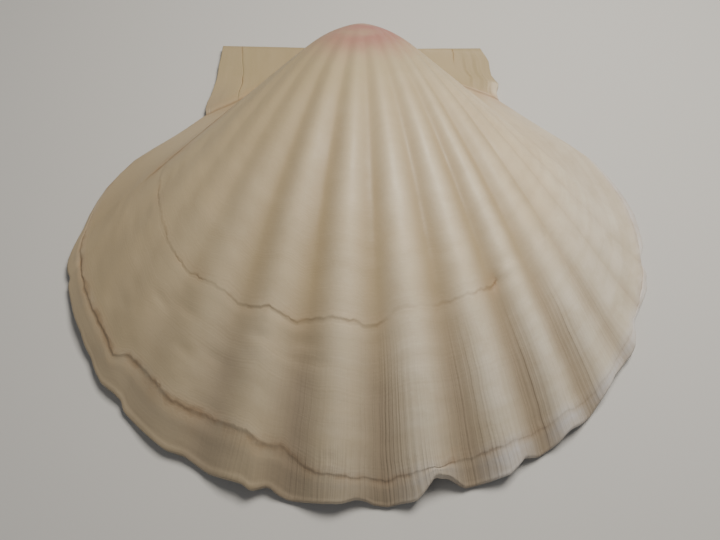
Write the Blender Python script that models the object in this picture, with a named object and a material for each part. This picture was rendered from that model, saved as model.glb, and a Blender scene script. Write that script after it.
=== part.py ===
# Great scallop: one lower (right) valve, outside up, resting on its margin and its ears.
#
# A scallop grows by adding shell at its edge, and each old edge stays in the surface as a growth
# line. So the valve is built the same way: its present edge is drawn in the plane where the two
# valves met, and every older edge is that edge made smaller and turned about the hinge. Rows of
# points run along the growth lines, and columns of points run from the beak out to the edge.
import bmesh
import bpy
import numpy as np

MM = 0.001

# Driving sizes, in millimetres. x runs along the hinge, -y to the far edge, z up.
BEAK = (-1.0, 5.0)              # y and z of the beak, where growth began
EDGE_HEIGHT = 1.3               # thickness of the shell at its worn edge
HINGE_LINE = (-2.9, 2.4)        # y under the beak, and thickness of the hinge edge

# The growth law: each older edge has the share s of the present size.
TURN = 0.80                     # how fast the edge turned about the hinge
TURN_FADE = 0.56                # how the turning slowed with size
WIDENING = 0.30                 # the disc widened faster than it lengthened
SIDE_WIDENING = 0.20            # and a little more so at its two sides

# The present edge of the disc: one wide arc in front, a closer arc at each side, a round
# corner, and a straight shoulder back to the ear. Angles are in degrees from the middle rib.
FRONT_RADIUS = 69.4
FRONT_CENTRE_Y = -41.45
DISC_ANGLE = 48.0
LEFT, RIGHT = -1, 1
SIDES = {
    LEFT: dict(radius=38.2, centre_x=24.1, corner=13.5, ear_foot=(36.9, -23.4), slope=38.4),
    RIGHT: dict(radius=45.7, centre_x=15.0, corner=12.5, ear_foot=(33.6, -18.8), slope=39.4),
}
EAR_EDGE = {
    LEFT: [(34.4, -1.5), (34.6, -5.0), (35.0, -8.0), (35.0, -11.2), (35.7, -14.9), (36.0, -16.8),
           (37.0, -19.8), (36.9, -23.4)],
    RIGHT: [(29.6, -2.3), (30.3, -4.2), (31.4, -6.0), (31.5, -9.2), (31.8, -11.9), (32.9, -13.3),
            (33.3, -14.6), (32.6, -17.3), (33.6, -18.8)],
}

# Ribs lie between these furrows. They are worn low on the left and die out on the right. Each
# height is (angle, height over the furrow at the present edge).
FURROWS = [-48.0, -41.0, -33.5, -25.8, -16.6, -7.2, 2.0, 10.8, 18.8, 25.3, 32.0, 38.0, 43.3, 48.0]
RIB_HEIGHT = [(-48, 0.5), (-37, 0.9), (-30, 1.2), (-21, 1.7), (-12, 2.3), (-2, 2.7), (15, 2.8),
              (22, 2.6), (29, 2.0), (35, 1.2), (41, 0.7), (48, 0.4)]
RIB_ROUNDNESS = 0.70
RIBS_GROWN = 0.25               # share of the present size at which the ribs are full
COLUMNS_PER_RIB = 8

# Two growth stops, where the edge halted and then began again under it, leave a ledge.
# Each is (angle, share of the present size reached there).
STOP_A = [(-60, 0.800), (-48, 0.752), (-30, 0.760), (-9, 0.766), (-2, 0.754), (2, 0.757),
          (5, 0.743), (30, 0.750), (41, 0.780), (60, 0.800)]
STOP_B = [(-60, 0.965), (-43, 0.956), (-33, 0.938), (-30, 0.948), (-28, 0.926), (-12, 0.924),
          (-8, 0.930), (-5, 0.958), (3, 0.964), (10, 0.956), (25, 0.972), (60, 0.968)]
STOP_A_ROW, STOP_B_ROW = 0.750, 0.950
LEDGE_A = [(-60, 0.20), (-45, 0.60), (-10, 0.60), (0, 0.50), (10, 0.25), (25, 0.35), (60, 0.15)]
LEDGE_B = [(-60, 0.30), (-40, 0.65), (0, 0.60), (15, 0.45), (30, 0.25), (60, 0.20)]
LEDGE_RUN = 0.0035

# The right ear is crossed by three wrinkles: (share of the present size, height).
EAR_WRINKLES = [(0.80, 0.0), (0.825, 0.35), (0.87, 0.0), (0.91, 0.45), (0.94, 0.0), (0.975, 0.30),
                (1.0, 0.0)]

# The edge as it is now, chipped: share of the whole edge left at each angle.
CHIPPED_EDGE = [(-60, 1.0), (-52, 0.968), (-48, 0.975), (-45, 0.993), (-36, 0.981), (-30, 0.996),
                (-28, 0.990), (-26, 1.0), (-20, 1.005), (-18, 0.997), (-15, 1.004), (-9, 0.995),
                (-7, 1.004), (-2, 1.001), (-0.5, 0.993), (1, 1.002), (5.2, 1.002), (6.2, 0.988),
                (7.3, 0.966), (8.5, 0.970), (10, 0.998), (14.5, 1.004), (16.5, 0.991), (18, 1.0),
                (25, 0.998), (29.5, 0.984), (33, 0.992), (36.8, 0.974), (41, 0.991), (44, 0.977),
                (46, 0.992), (52, 1.0), (60, 1.0)]

# Inside of the shell.
WALL_AT_BEAK, WALL_AT_EDGE = 3.0, 1.5
FOLD_START, FOLD_SHARE = 0.55, 0.85     # the ribs show inside only towards the edge
RIM_INSETS = (0.3, 1.5)                 # the band along the edge that the shell rests on
RIM_FLAT = 0.7                          # how far the furrows are worn flat there
RIDGE_WIDTH = 2.2                       # the ridge inside that backs the foot of each ear

PIT = [(-2.4, -8.2, 0.0), (0.0, -4.4, 0.0), (2.4, -8.0, 0.0)]   # pit of the hinge pad
PIT_FLOOR = (0.0, -9.5, 2.5)

SHELL_COLOUR = (0.62, 0.52, 0.38, 1.0)
SHELL_ROUGHNESS = 0.45


def clear_scene():
    for old in list(bpy.data.objects):
        bpy.data.objects.remove(old, do_unlink=True)


def table(points, at):
    angles, values = zip(*points)
    return np.interp(at, angles, values)


def smooth_step(value):
    value = np.clip(value, 0.0, 1.0)
    return value * value * (3 - 2 * value)


# The present edge, in the plane of the hinge and the edge.

def side_geometry(side):
    """Centres of the side arc and the corner arc, and where each arc takes over."""
    size = SIDES[side]
    reach = FRONT_RADIUS - size["radius"]
    side_centre = np.array([size["centre_x"],
                            FRONT_CENTRE_Y - np.sqrt(reach ** 2 - size["centre_x"] ** 2)])
    slope = np.radians(size["slope"])
    along = np.array([np.cos(slope), -np.sin(slope)])
    inward = np.array([-np.sin(slope), -np.cos(slope)])
    foot = np.array(size["ear_foot"])
    start = foot + size["corner"] * inward - side_centre
    b = start @ along
    c = start @ start - (size["radius"] - size["corner"]) ** 2
    shoulder = -b + np.sqrt(b * b - c)
    corner_centre = foot + shoulder * along + size["corner"] * inward
    front_join = np.array([0, FRONT_CENTRE_Y]) + FRONT_RADIUS * (
        side_centre - [0, FRONT_CENTRE_Y]) / reach
    to_corner = (corner_centre - side_centre) / np.linalg.norm(corner_centre - side_centre)
    side_join = side_centre + size["radius"] * to_corner
    shoulder_join = foot + shoulder * along
    return dict(side_centre=side_centre, corner_centre=corner_centre, foot=foot,
                shoulder_join=shoulder_join,
                front_angle=np.arctan2(front_join[0], -front_join[1]),
                side_angle=np.arctan2(side_join[0], -side_join[1]),
                shoulder_angle=np.arctan2(shoulder_join[0], -shoulder_join[1]))


GEOMETRY = {side: side_geometry(side) for side in SIDES}


def edge_radius(angle):
    """Distance from the beak to the whole edge of the disc, in the direction of an angle."""
    side = LEFT if angle < 0 else RIGHT
    shape = GEOMETRY[side]
    turn = abs(np.radians(angle))
    ray = np.array([np.sin(turn), -np.cos(turn)])
    if turn < shape["front_angle"]:
        centre, radius = np.array([0, FRONT_CENTRE_Y]), FRONT_RADIUS
    elif turn < shape["side_angle"]:
        centre, radius = shape["side_centre"], SIDES[side]["radius"]
    else:
        centre, radius = shape["corner_centre"], SIDES[side]["corner"]
    along = centre @ ray
    return along + np.sqrt(max(radius ** 2 - (centre @ centre - along ** 2), 0.0))


def edge_point(angle):
    radius = edge_radius(angle)
    return radius * np.sin(np.radians(angle)), -radius * np.cos(np.radians(angle))


def shoulder_point(side, share):
    """Along the edge from the foot of the ear (0) to where the ribbed disc starts (1)."""
    shape = GEOMETRY[side]
    straight = 0.55
    if share < straight:
        x, y = shape["foot"] + (shape["shoulder_join"] - shape["foot"]) * share / straight
        return side * x, y
    top = np.degrees(shape["shoulder_angle"])
    angle = top + (DISC_ANGLE - top) * (share - straight) / (1 - straight)
    return edge_point(side * angle)


# Relief on the outside.

def rib(angle, s=1.0):
    """Height of the ribs over the floor of the furrows. The shell began smooth."""
    if angle <= FURROWS[0] or angle >= FURROWS[-1]:
        return 0.0
    index = np.searchsorted(FURROWS, angle, side="right") - 1
    share = (angle - FURROWS[index]) / (FURROWS[index + 1] - FURROWS[index])
    round_top = (0.5 - 0.5 * np.cos(2 * np.pi * share)) ** RIB_ROUNDNESS
    return table(RIB_HEIGHT, angle) * round_top * smooth_step(s / RIBS_GROWN)


def stage(row, angle):
    """Share of the present size that a growth line has at an angle."""
    marks = [0.0, STOP_A_ROW, STOP_B_ROW, 1.0]
    reached = [0.0, table(STOP_A, angle), table(STOP_B, angle), table(CHIPPED_EDGE, angle)]
    return np.interp(row, marks, reached)


def ledge(row, angle):
    """The old edge thickens just before a stop and the new shell starts lower down."""
    height = 0.0
    for stop, sizes in ((STOP_A_ROW, LEDGE_A), (STOP_B_ROW, LEDGE_B)):
        before = stop - row
        if -1e-6 < before < 0.04:
            height += table(sizes, angle) * (1 - before / 0.04)
    return height


def worn_edge(row):
    """The outer corner of the edge is worn round."""
    return 0.35 * smooth_step((row - 0.985) / 0.015)


# Growth.

def turn_at(s):
    return TURN * (1 - s ** TURN_FADE) / TURN_FADE


def disc_point(angle, s, raised=0.0):
    x, y = edge_point(angle)
    widening = WIDENING + SIDE_WIDENING * min(abs(angle) / DISC_ANGLE, 1.0) ** 6
    turn = turn_at(s)
    reach = s * (y - BEAK[0])
    base = EDGE_HEIGHT + (BEAK[1] - EDGE_HEIGHT) * (1 - s)
    return np.array([s ** (1 + widening) * x,
                     BEAK[0] + reach * np.cos(turn) + s * raised * np.sin(turn),
                     base - reach * np.sin(turn) + s * raised * np.cos(turn)])


def ear_point(side, share, s):
    """share runs from the hinge end of the ear's edge (0) to its foot at the disc (1)."""
    edge = np.array(EAR_EDGE[side])
    along = np.linspace(0, 1, len(edge))
    x = side * np.interp(share, along, edge[:, 0])
    y = np.interp(share, along, edge[:, 1])
    dish = 0.35 * 4 * share * (1 - share) * s
    thickness = HINGE_LINE[1] - 0.4 * s - dish
    return np.array([s * x, HINGE_LINE[0] + s * (y - HINGE_LINE[0]), thickness])


def flank_point(side, share, s, raised=0.0):
    """The steep side of the disc, from the foot of the ear (0) to the ribbed disc (1)."""
    low = ear_point(side, 1.0, s)
    high = disc_point(side * DISC_ANGLE, s)
    point = low + (high - low) * share
    bulge = smooth_step((s - 0.70) / 0.30)
    line_x = side * (1 - share) * GEOMETRY[side]["foot"][0] + share * edge_point(side * DISC_ANGLE)[0]
    line_y = (1 - share) * GEOMETRY[side]["foot"][1] + share * edge_point(side * DISC_ANGLE)[1]
    x, y = shoulder_point(side, share)
    point[0] += bulge * s * (x - line_x)
    point[1] += bulge * s * (y - line_y)
    point[2] += raised
    return point


# Columns: (zone, side, place), from the hinge end of the left ear round to that of the right.

def make_columns():
    eighths = np.linspace(0, 1, 9)
    columns = [("ear", LEFT, share) for share in eighths[:-1]]
    columns += [("flank", LEFT, share) for share in eighths[:-1]]
    for left, right in zip(FURROWS[:-1], FURROWS[1:]):
        across = np.linspace(left, right, COLUMNS_PER_RIB + 1)
        columns += [("disc", 0, angle) for angle in across[:-1]]
    columns += [("flank", RIGHT, share) for share in eighths[::-1]]
    columns += [("ear", RIGHT, share) for share in eighths[-2::-1]]
    return columns


COLUMNS = make_columns()
LEFT_FOOT = 8
RIGHT_FOOT = len(COLUMNS) - 9


def column_angle(column):
    """The angle whose growth stops and chips a column follows."""
    zone, side, place = column
    if zone == "disc":
        return place
    if zone == "flank":
        return side * (60 - (60 - DISC_ANGLE) * place)
    return side * 60.0


def outer_point(column, row):
    zone, side, place = column
    angle = column_angle(column)
    s = stage(row, angle)
    raised = ledge(row, angle) - worn_edge(row)
    if zone == "disc":
        return disc_point(place, s, rib(place, s) + raised)
    if zone == "flank":
        return flank_point(side, place, s, raised)
    point = ear_point(side, place, s)
    point[2] += raised
    if side == RIGHT:
        point[2] += table(EAR_WRINKLES, s) * smooth_step(place / 0.3) * smooth_step((1 - place) / 0.2)
    return point


OUTER_ROWS = [0.05, 0.09, 0.14, 0.20, 0.27, 0.35, 0.43, 0.51, 0.59, 0.66, 0.71, STOP_A_ROW,
              STOP_A_ROW + LEDGE_RUN, 0.80, 0.85, 0.90, 0.925, STOP_B_ROW, STOP_B_ROW + LEDGE_RUN,
              0.972, 0.988, 1.0]
INNER_ROWS = [0.20, 0.27, 0.35, 0.44, 0.53, 0.62, 0.71, 0.79, 0.86, 0.915, 0.955]
HINGE_BOTTOM_ROWS = [0.95, 0.80, 0.70, 0.50, 0.25, OUTER_ROWS[0]]


def outer_grid():
    return np.array([[outer_point(column, row) for column in COLUMNS] for row in OUTER_ROWS])


def inner_grid(columns):
    """The smooth inside: the outside without its relief, moved in by the wall."""
    rows = INNER_ROWS
    surface = np.zeros((len(rows), len(columns), 3))
    for i, row in enumerate(rows):
        fold = FOLD_SHARE * smooth_step((row - FOLD_START) / (1 - FOLD_START))
        for j, column in enumerate(columns):
            zone, side, place = column
            s = row
            if zone == "disc":
                surface[i, j] = disc_point(place, s, rib(place, s) * fold)
            else:
                surface[i, j] = flank_point(side, place, s)
    across = np.gradient(surface, axis=1)
    along = np.gradient(surface, axis=0)
    normal = np.cross(along, across)
    normal /= np.linalg.norm(normal, axis=2, keepdims=True)
    if normal[-2, len(columns) // 2, 2] < 0:
        normal = -normal
    walls = np.interp(rows, [0.2, 0.7, 1.0], [WALL_AT_BEAK, 2.0, WALL_AT_EDGE])
    inside = surface - normal * walls[:, None, None]
    for side, j in ((LEFT, 0), (RIGHT, len(columns) - 1)):
        for i, row in enumerate(rows):
            inside[i, j] = ridge_foot(side, row)
    inside[:, :, 2] = np.maximum(inside[:, :, 2], 0.0)
    return inside


def ridge_foot(side, s):
    """Where the ridge behind the ear's foot meets the flat underside of the ear."""
    foot = ear_point(side, 1.0, min(s, 0.992))
    run = np.array(ear_point(side, 1.0, 1.0))[:2] - np.array([0, HINGE_LINE[0]])
    run /= np.linalg.norm(run)
    inward = np.array([run[1], -run[0]]) * (-side)
    if inward[1] > 0:
        inward = -inward
    width = np.interp(s, [0.9, 1.0], [RIDGE_WIDTH, 0.3])
    return np.array([foot[0] + width * inward[0], foot[1] + width * inward[1], 0.0])


def rim_points(outer_edge, inset):
    """The underside of the edge, moved in from the outline and flat where a furrow ends."""
    points = []
    for index, column in enumerate(COLUMNS):
        zone, side, place = column
        point = outer_edge[index].copy()
        if zone == "ear":
            inward = np.array([0, HINGE_LINE[0]]) - point[:2]
        else:
            before = whole_edge(COLUMNS[max(index - 1, LEFT_FOOT)])
            after = whole_edge(COLUMNS[min(index + 1, RIGHT_FOOT)])
            inward = np.array([before[1] - after[1], after[0] - before[0]])
        point[:2] += inset * inward / np.linalg.norm(inward)
        point[2] = max(rib(place) - RIM_FLAT, 0.0) if zone == "disc" else 0.0
        points.append(point)
    return np.array(points)


def whole_edge(column):
    zone, side, place = column
    if zone == "disc":
        return edge_point(place)
    return shoulder_point(side, place)


def hinge_bottom(side):
    """Points under the hinge edge, from the end of the ear to the beak."""
    points = []
    for s in HINGE_BOTTOM_ROWS:
        x, y, _ = ear_point(side, 0.0, s)
        points.append((x, y, 0.0))
    return points


# Skinning: two lines of points are joined by a strip of triangles.

def add_points(mesh, points):
    return [mesh.verts.new(np.asarray(point) * MM) for point in points]


def strip(mesh, first, second):
    """Join two lines that run the same way, whatever their numbers of points."""
    i = j = 0
    while i < len(first) - 1 or j < len(second) - 1:
        step_first = (i + 1) / (len(first) - 1) if i < len(first) - 1 else 2.0
        step_second = (j + 1) / (len(second) - 1) if j < len(second) - 1 else 2.0
        if abs(step_first - step_second) < 1e-9:
            one = (first[i + 1].co - second[j].co).length
            other = (first[i].co - second[j + 1].co).length
            if one < other:
                mesh.faces.new((first[i], first[i + 1], second[j]))
                mesh.faces.new((first[i + 1], second[j + 1], second[j]))
            else:
                mesh.faces.new((first[i], second[j + 1], second[j]))
                mesh.faces.new((first[i], first[i + 1], second[j + 1]))
            i += 1
            j += 1
        elif step_first < step_second:
            mesh.faces.new((first[i], first[i + 1], second[j]))
            i += 1
        else:
            mesh.faces.new((first[i], second[j + 1], second[j]))
            j += 1


def fan(mesh, middle, ring):
    for one, other in zip(ring, ring[1:] + ring[:1]):
        mesh.faces.new((middle, one, other))


def column_step(row):
    """Near the beak the columns are so close that every second or fourth is enough."""
    if row < 0.10:
        return 4
    if row < 0.20:
        return 2
    return 1


def build_valve():
    mesh = bmesh.new()
    surface = outer_grid()
    outer = [add_points(mesh, surface[i, ::column_step(row)]) for i, row in enumerate(OUTER_ROWS)]
    for near, far in zip(outer[:-1], outer[1:]):
        strip(mesh, near, far)

    rim = [add_points(mesh, rim_points(surface[-1], RIM_INSETS[0]))]
    strip(mesh, outer[-1], rim[0])
    bowl_rim = rim_points(surface[-1], RIM_INSETS[1])[LEFT_FOOT:RIGHT_FOOT + 1]
    bowl_rim[0] = ridge_foot(LEFT, 0.975)
    bowl_rim[-1] = ridge_foot(RIGHT, 0.975)
    bowl_rim = add_points(mesh, bowl_rim)
    strip(mesh, rim[0][LEFT_FOOT:RIGHT_FOOT + 1], bowl_rim)

    inside = inner_grid(COLUMNS[LEFT_FOOT:RIGHT_FOOT + 1:2])
    inner = [add_points(mesh, points) for points in inside]
    strip(mesh, bowl_rim, inner[-1])
    for far, near in zip(inner[:0:-1], inner[-2::-1]):
        strip(mesh, far, near)

    # The hinge edge, and the little face under the beak.
    bottoms = {}
    for side, end in ((LEFT, 0), (RIGHT, -1)):
        bottoms[side] = add_points(mesh, hinge_bottom(side))
        strip(mesh, [row[end] for row in outer[::-1]], [rim[0][end]] + bottoms[side])
    beak = mesh.verts.new((0, BEAK[0] * MM, BEAK[1] * MM))
    fan(mesh, beak, outer[0] + [bottoms[RIGHT][-1], bottoms[LEFT][-1]])

    # The pit for the hinge pad, and the end of the hollow behind it.
    pit = add_points(mesh, [PIT[0], PIT[1], PIT[2]])
    pit_floor = mesh.verts.new(np.array(PIT_FLOOR) * MM)
    fan(mesh, pit_floor, inner[0] + pit[::-1])

    # The flat underside of the hinge and the ears.
    under = rim[0][:LEFT_FOOT + 1] + [bowl_rim[0]] + [row[0] for row in inner[::-1]] + pit
    under += [row[-1] for row in inner] + [bowl_rim[-1]] + rim[0][RIGHT_FOOT:]
    under += bottoms[RIGHT] + bottoms[LEFT][::-1]
    plate = mesh.faces.new(under)
    plate.normal_update()
    bmesh.ops.triangulate(mesh, faces=[plate], ngon_method="BEAUTY")

    bmesh.ops.recalc_face_normals(mesh, faces=mesh.faces[:])
    if mesh.calc_volume(signed=True) < 0:
        bmesh.ops.reverse_faces(mesh, faces=mesh.faces[:])
    return mesh


def stand_on_origin(mesh):
    """The origin is under the middle of the valve, on the table."""
    places = np.array([vert.co for vert in mesh.verts])
    low, high = places.min(axis=0), places.max(axis=0)
    middle = (low + high) / 2
    for vert in mesh.verts:
        vert.co.x -= middle[0]
        vert.co.y -= middle[1]
        vert.co.z -= low[2]


def shell_material():
    material = bpy.data.materials.new("shell")
    material.use_nodes = True
    shader = material.node_tree.nodes["Principled BSDF"]
    shader.inputs["Base Color"].default_value = SHELL_COLOUR
    shader.inputs["Roughness"].default_value = SHELL_ROUGHNESS
    shader.inputs["Metallic"].default_value = 0.0
    return material


def make_valve():
    mesh = build_valve()
    stand_on_origin(mesh)
    data = bpy.data.meshes.new("scallop_valve")
    mesh.to_mesh(data)
    mesh.free()
    data.materials.append(shell_material())
    data.shade_smooth()
    data.set_sharp_from_angle(angle=np.radians(42))
    valve = bpy.data.objects.new("scallop_valve", data)
    bpy.context.scene.collection.objects.link(valve)
    return valve


clear_scene()
make_valve()
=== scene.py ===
# %% [markdown]
# # One valve of a great scallop
#
# The object is one empty valve, lying mouth down: a deep ribbed fan with two flat ears along a
# straight hinge. A scallop adds shell only at its edge, so every edge it ever had is still there
# as a growth line. This lesson builds the valve the same way. It draws the present edge, works
# out where every older edge lay, and pulls a flat sheet of faces over those lines.

# %% Load the fixed model
import math
import bmesh
import bpy
import numpy as np
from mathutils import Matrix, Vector


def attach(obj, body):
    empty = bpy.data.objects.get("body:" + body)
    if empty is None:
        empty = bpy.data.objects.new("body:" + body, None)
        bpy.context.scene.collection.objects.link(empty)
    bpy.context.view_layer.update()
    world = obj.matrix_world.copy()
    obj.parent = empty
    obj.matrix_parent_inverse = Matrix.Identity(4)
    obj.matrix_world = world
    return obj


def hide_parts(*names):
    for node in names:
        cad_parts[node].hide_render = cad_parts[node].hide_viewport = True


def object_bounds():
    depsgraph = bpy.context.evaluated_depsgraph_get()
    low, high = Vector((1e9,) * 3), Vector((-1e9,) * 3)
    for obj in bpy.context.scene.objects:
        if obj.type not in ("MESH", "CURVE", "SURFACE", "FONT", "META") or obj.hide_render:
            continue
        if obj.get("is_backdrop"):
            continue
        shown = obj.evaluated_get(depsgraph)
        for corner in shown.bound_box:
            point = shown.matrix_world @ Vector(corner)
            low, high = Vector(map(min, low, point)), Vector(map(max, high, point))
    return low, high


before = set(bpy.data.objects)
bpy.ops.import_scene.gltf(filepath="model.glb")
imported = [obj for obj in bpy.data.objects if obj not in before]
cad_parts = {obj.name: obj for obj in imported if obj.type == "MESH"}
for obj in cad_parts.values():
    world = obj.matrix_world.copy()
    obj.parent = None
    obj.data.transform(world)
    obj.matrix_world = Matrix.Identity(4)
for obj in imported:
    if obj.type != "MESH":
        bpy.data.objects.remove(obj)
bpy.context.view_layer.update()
print("nodes of the fixed model:", list(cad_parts))

# %% [markdown]
# ## Where the eye is
#
# The valve is seen from above and in front, 25 degrees off straight down and only 14 cm away, so
# the high umbo looks larger and leans out over the hinge. A close camera with a normal lens
# gives that. It could also be aimed with a constraint, but a place and a tilt are simpler.

# %% Camera
CAMERA_TILT = math.radians(25)
CAMERA_DISTANCE = 0.1416
CAMERA_AIM = Vector((0.00053, -0.00677, 0.0))

place = CAMERA_AIM + CAMERA_DISTANCE * Vector((0, -math.sin(CAMERA_TILT), math.cos(CAMERA_TILT)))
bpy.ops.object.camera_add(location=place, rotation=(CAMERA_TILT, 0, 0))
camera = bpy.context.object
camera.name = "camera"
camera.data.lens = 33.0
camera.data.sensor_width = 36.0
camera.data.clip_start = 0.01
bpy.context.scene.camera = camera
print("camera at, mm:", [round(1000 * c) for c in place])

# %% [markdown]
# ## Floor and light
#
# A plain pale floor holds the shell. The ribs only show when the light comes from one side, so a
# soft lamp nearly as wide as the shell stands behind the hinge, to the right and 25 cm up. A wide
# weak one fills from the front left. A bare sun would draw the ribs too hard.

# %% Floor and lamps
bpy.ops.mesh.primitive_plane_add(size=4.0, location=(0, 0, 0))
floor = bpy.context.object
floor.name = "floor"
floor_paint = bpy.data.materials.new("pale_floor")
floor_paint.use_nodes = True
floor_paint.node_tree.nodes["Principled BSDF"].inputs["Base Color"].default_value = (0.62, 0.61, 0.59, 1)
floor_paint.node_tree.nodes["Principled BSDF"].inputs["Roughness"].default_value = 0.8
floor.data.materials.append(floor_paint)
floor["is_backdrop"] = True


def add_lamp(name, place, aim, size, watts, colour):
    """A square soft lamp that looks at a point."""
    bpy.ops.object.light_add(type="AREA", location=place)
    lamp = bpy.context.object
    lamp.name = name
    lamp.data.size = size
    lamp.data.energy = watts
    lamp.data.color = colour
    lamp.rotation_euler = (Vector(aim) - Vector(place)).to_track_quat("-Z", "Y").to_euler()


add_lamp("key_lamp", (0.085, 0.085, 0.25), (0, 0, 0.01), 0.10, 0.84, (1.0, 0.95, 0.86))
add_lamp("fill_lamp", (-0.45, -0.40, 0.60), (0, 0, 0.01), 0.70, 0.6, (0.95, 0.97, 1.0))

world = bpy.data.worlds.new("soft_room")
world.use_nodes = True
world.node_tree.nodes["Background"].inputs["Color"].default_value = (0.80, 0.84, 0.90, 1)
world.node_tree.nodes["Background"].inputs["Strength"].default_value = 0.10
bpy.context.scene.world = world

# %% [markdown]
# ## The measures of the valve
#
# All sizes are in millimetres, with the middle of the hinge edge near the origin, x along the
# hinge and -y to the far edge. The finished points move by MIDDLE, which brings the middle of the
# valve over the origin. The fixed model has the same driving sizes, so the two agree. Growth is
# counted in two ways: a row is the share of the growth at a growth line, and s is the share of
# the present size that the shell had reached there.

# %% Measures of the valve
MM = 0.001
MIDDLE = np.array([0.786, 56.230, 0.0])
BEAK_Y, BEAK_Z = -1.0, 5.0          # the beak, where growth started
EDGE_HEIGHT = 1.3                   # how high the smooth disc is at its present edge
HINGE_Y, HINGE_Z = -2.9, 2.4        # the middle of the hinge edge

TURN, TURN_FADE = 0.80, 0.56        # how far the edge turned, and how fast the turning faded
WIDENING, SIDE_WIDENING = 0.30, 0.20

FRONT_RADIUS = 69.4
FRONT_CENTRE_Y = -41.45
DISC_ANGLE = 48.0
GROWTH_LENGTH = 108.0    # from the beak to the edge along the middle rib
DEGREE = math.radians(1) * GROWTH_LENGTH
LEFT, RIGHT = -1, 1
SIDES = {
    LEFT: dict(radius=38.2, centre_x=24.1, corner=13.5, ear_foot=(36.9, -23.4), slope=38.4),
    RIGHT: dict(radius=45.7, centre_x=15.0, corner=12.5, ear_foot=(33.6, -18.8), slope=39.4),
}
EAR_EDGE = {
    LEFT: [(34.4, -1.5), (34.6, -5.0), (35.0, -8.0), (35.0, -11.2), (35.7, -14.9), (36.0, -16.8),
           (37.0, -19.8), (36.9, -23.4)],
    RIGHT: [(29.6, -2.3), (30.3, -4.2), (31.4, -6.0), (31.5, -9.2), (31.8, -11.9), (32.9, -13.3),
            (33.3, -14.6), (32.6, -17.3), (33.6, -18.8)],
}


def table(points, at):
    """Read a value between the listed (place, value) points."""
    places, values = zip(*points)
    return np.interp(at, places, values)


def smooth_step(value):
    value = np.clip(value, 0.0, 1.0)
    return value * value * (3 - 2 * value)


print("disc radius to the front, mm:", round(FRONT_RADIUS - FRONT_CENTRE_Y, 1))

# %% [markdown]
# ## The present edge
#
# Seen from above, the edge of the disc is one wide arc in front, a closer arc at each side, a
# round corner and a straight shoulder that runs back to the ear. Four simple curves that meet
# without a kink look more like grown shell than one freehand spline, and are easier to adjust.

# %% The present edge, seen from above
def side_geometry(side):
    """Centres of the side arc and the corner arc, and the angles where each takes over."""
    size = SIDES[side]
    reach = FRONT_RADIUS - size["radius"]
    front_centre = np.array([0, FRONT_CENTRE_Y])
    side_centre = np.array([size["centre_x"],
                            FRONT_CENTRE_Y - math.sqrt(reach ** 2 - size["centre_x"] ** 2)])
    slope = math.radians(size["slope"])
    along = np.array([math.cos(slope), -math.sin(slope)])
    inward = np.array([-math.sin(slope), -math.cos(slope)])
    foot = np.array(size["ear_foot"])
    start = foot + size["corner"] * inward - side_centre
    b = start @ along
    c = start @ start - (size["radius"] - size["corner"]) ** 2
    shoulder = -b + math.sqrt(b * b - c)
    corner_centre = foot + shoulder * along + size["corner"] * inward
    front_join = front_centre + FRONT_RADIUS * (side_centre - front_centre) / reach
    to_corner = (corner_centre - side_centre) / np.linalg.norm(corner_centre - side_centre)
    side_join = side_centre + size["radius"] * to_corner
    shoulder_join = foot + shoulder * along
    return dict(side_centre=side_centre, corner_centre=corner_centre, foot=foot,
                shoulder_join=shoulder_join,
                front_angle=math.degrees(math.atan2(front_join[0], -front_join[1])),
                side_angle=math.degrees(math.atan2(side_join[0], -side_join[1])),
                shoulder_angle=math.degrees(math.atan2(shoulder_join[0], -shoulder_join[1])))


GEOMETRY = {side: side_geometry(side) for side in SIDES}


def edge_point(angle):
    """The whole edge of the disc in a direction, in degrees from the middle rib."""
    side = LEFT if angle < 0 else RIGHT
    shape = GEOMETRY[side]
    turn = math.radians(abs(angle))
    ray = np.array([math.sin(turn), -math.cos(turn)])
    if abs(angle) < shape["front_angle"]:
        centre, radius = np.array([0, FRONT_CENTRE_Y]), FRONT_RADIUS
    elif abs(angle) < shape["side_angle"]:
        centre, radius = shape["side_centre"], SIDES[side]["radius"]
    else:
        centre, radius = shape["corner_centre"], SIDES[side]["corner"]
    along = centre @ ray
    reach = along + math.sqrt(max(radius ** 2 - (centre @ centre - along ** 2), 0.0))
    return np.array([side * reach * ray[0], reach * ray[1]])


def shoulder_point(side, share):
    """Along the edge from the foot of the ear (0) to where the ribbed disc starts (1)."""
    shape = GEOMETRY[side]
    straight = 0.55
    if share < straight:
        x, y = shape["foot"] + (shape["shoulder_join"] - shape["foot"]) * share / straight
        return np.array([side * x, y])
    top = shape["shoulder_angle"]
    return edge_point(side * (top + (DISC_ANGLE - top) * (share - straight) / (1 - straight)))


print("edge at 0, 30, 48 degrees:", [tuple(edge_point(a).round(1)) for a in (0, 30, 48)])

# %% [markdown]
# ## Ribs, growth stops and chips
#
# The ribs lie between 14 furrows. They are strong in the middle, worn low on the left and die
# out on the right. Twice the animal stopped growing, perhaps in a hard winter: the old edge
# thickened, and the new shell began a little lower, which leaves a ledge. The present edge is
# chipped. Each of these is a short list of (angle, value) points, because growth and wear follow
# no formula. A noise would give chips too, but not the ones that this shell has.

# %% Ribs, growth stops and chips
FURROWS = [-48.0, -41.0, -33.5, -25.8, -16.6, -7.2, 2.0, 10.8, 18.8, 25.3, 32.0, 38.0, 43.3, 48.0]
RIB_HEIGHT = [(-48, 0.25), (-37, 0.45), (-30, 0.65), (-21, 1.25), (-12, 2.3), (-2, 2.7), (15, 2.8),
              (22, 2.6), (29, 1.9), (35, 1.0), (41, 0.55), (48, 0.3)]
RIB_ROUNDNESS = [(-48, 0.85), (27, 0.85), (34, 0.40), (48, 0.35)]
RIBS_START, RIBS_FULL = 0.12, 0.52

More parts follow.
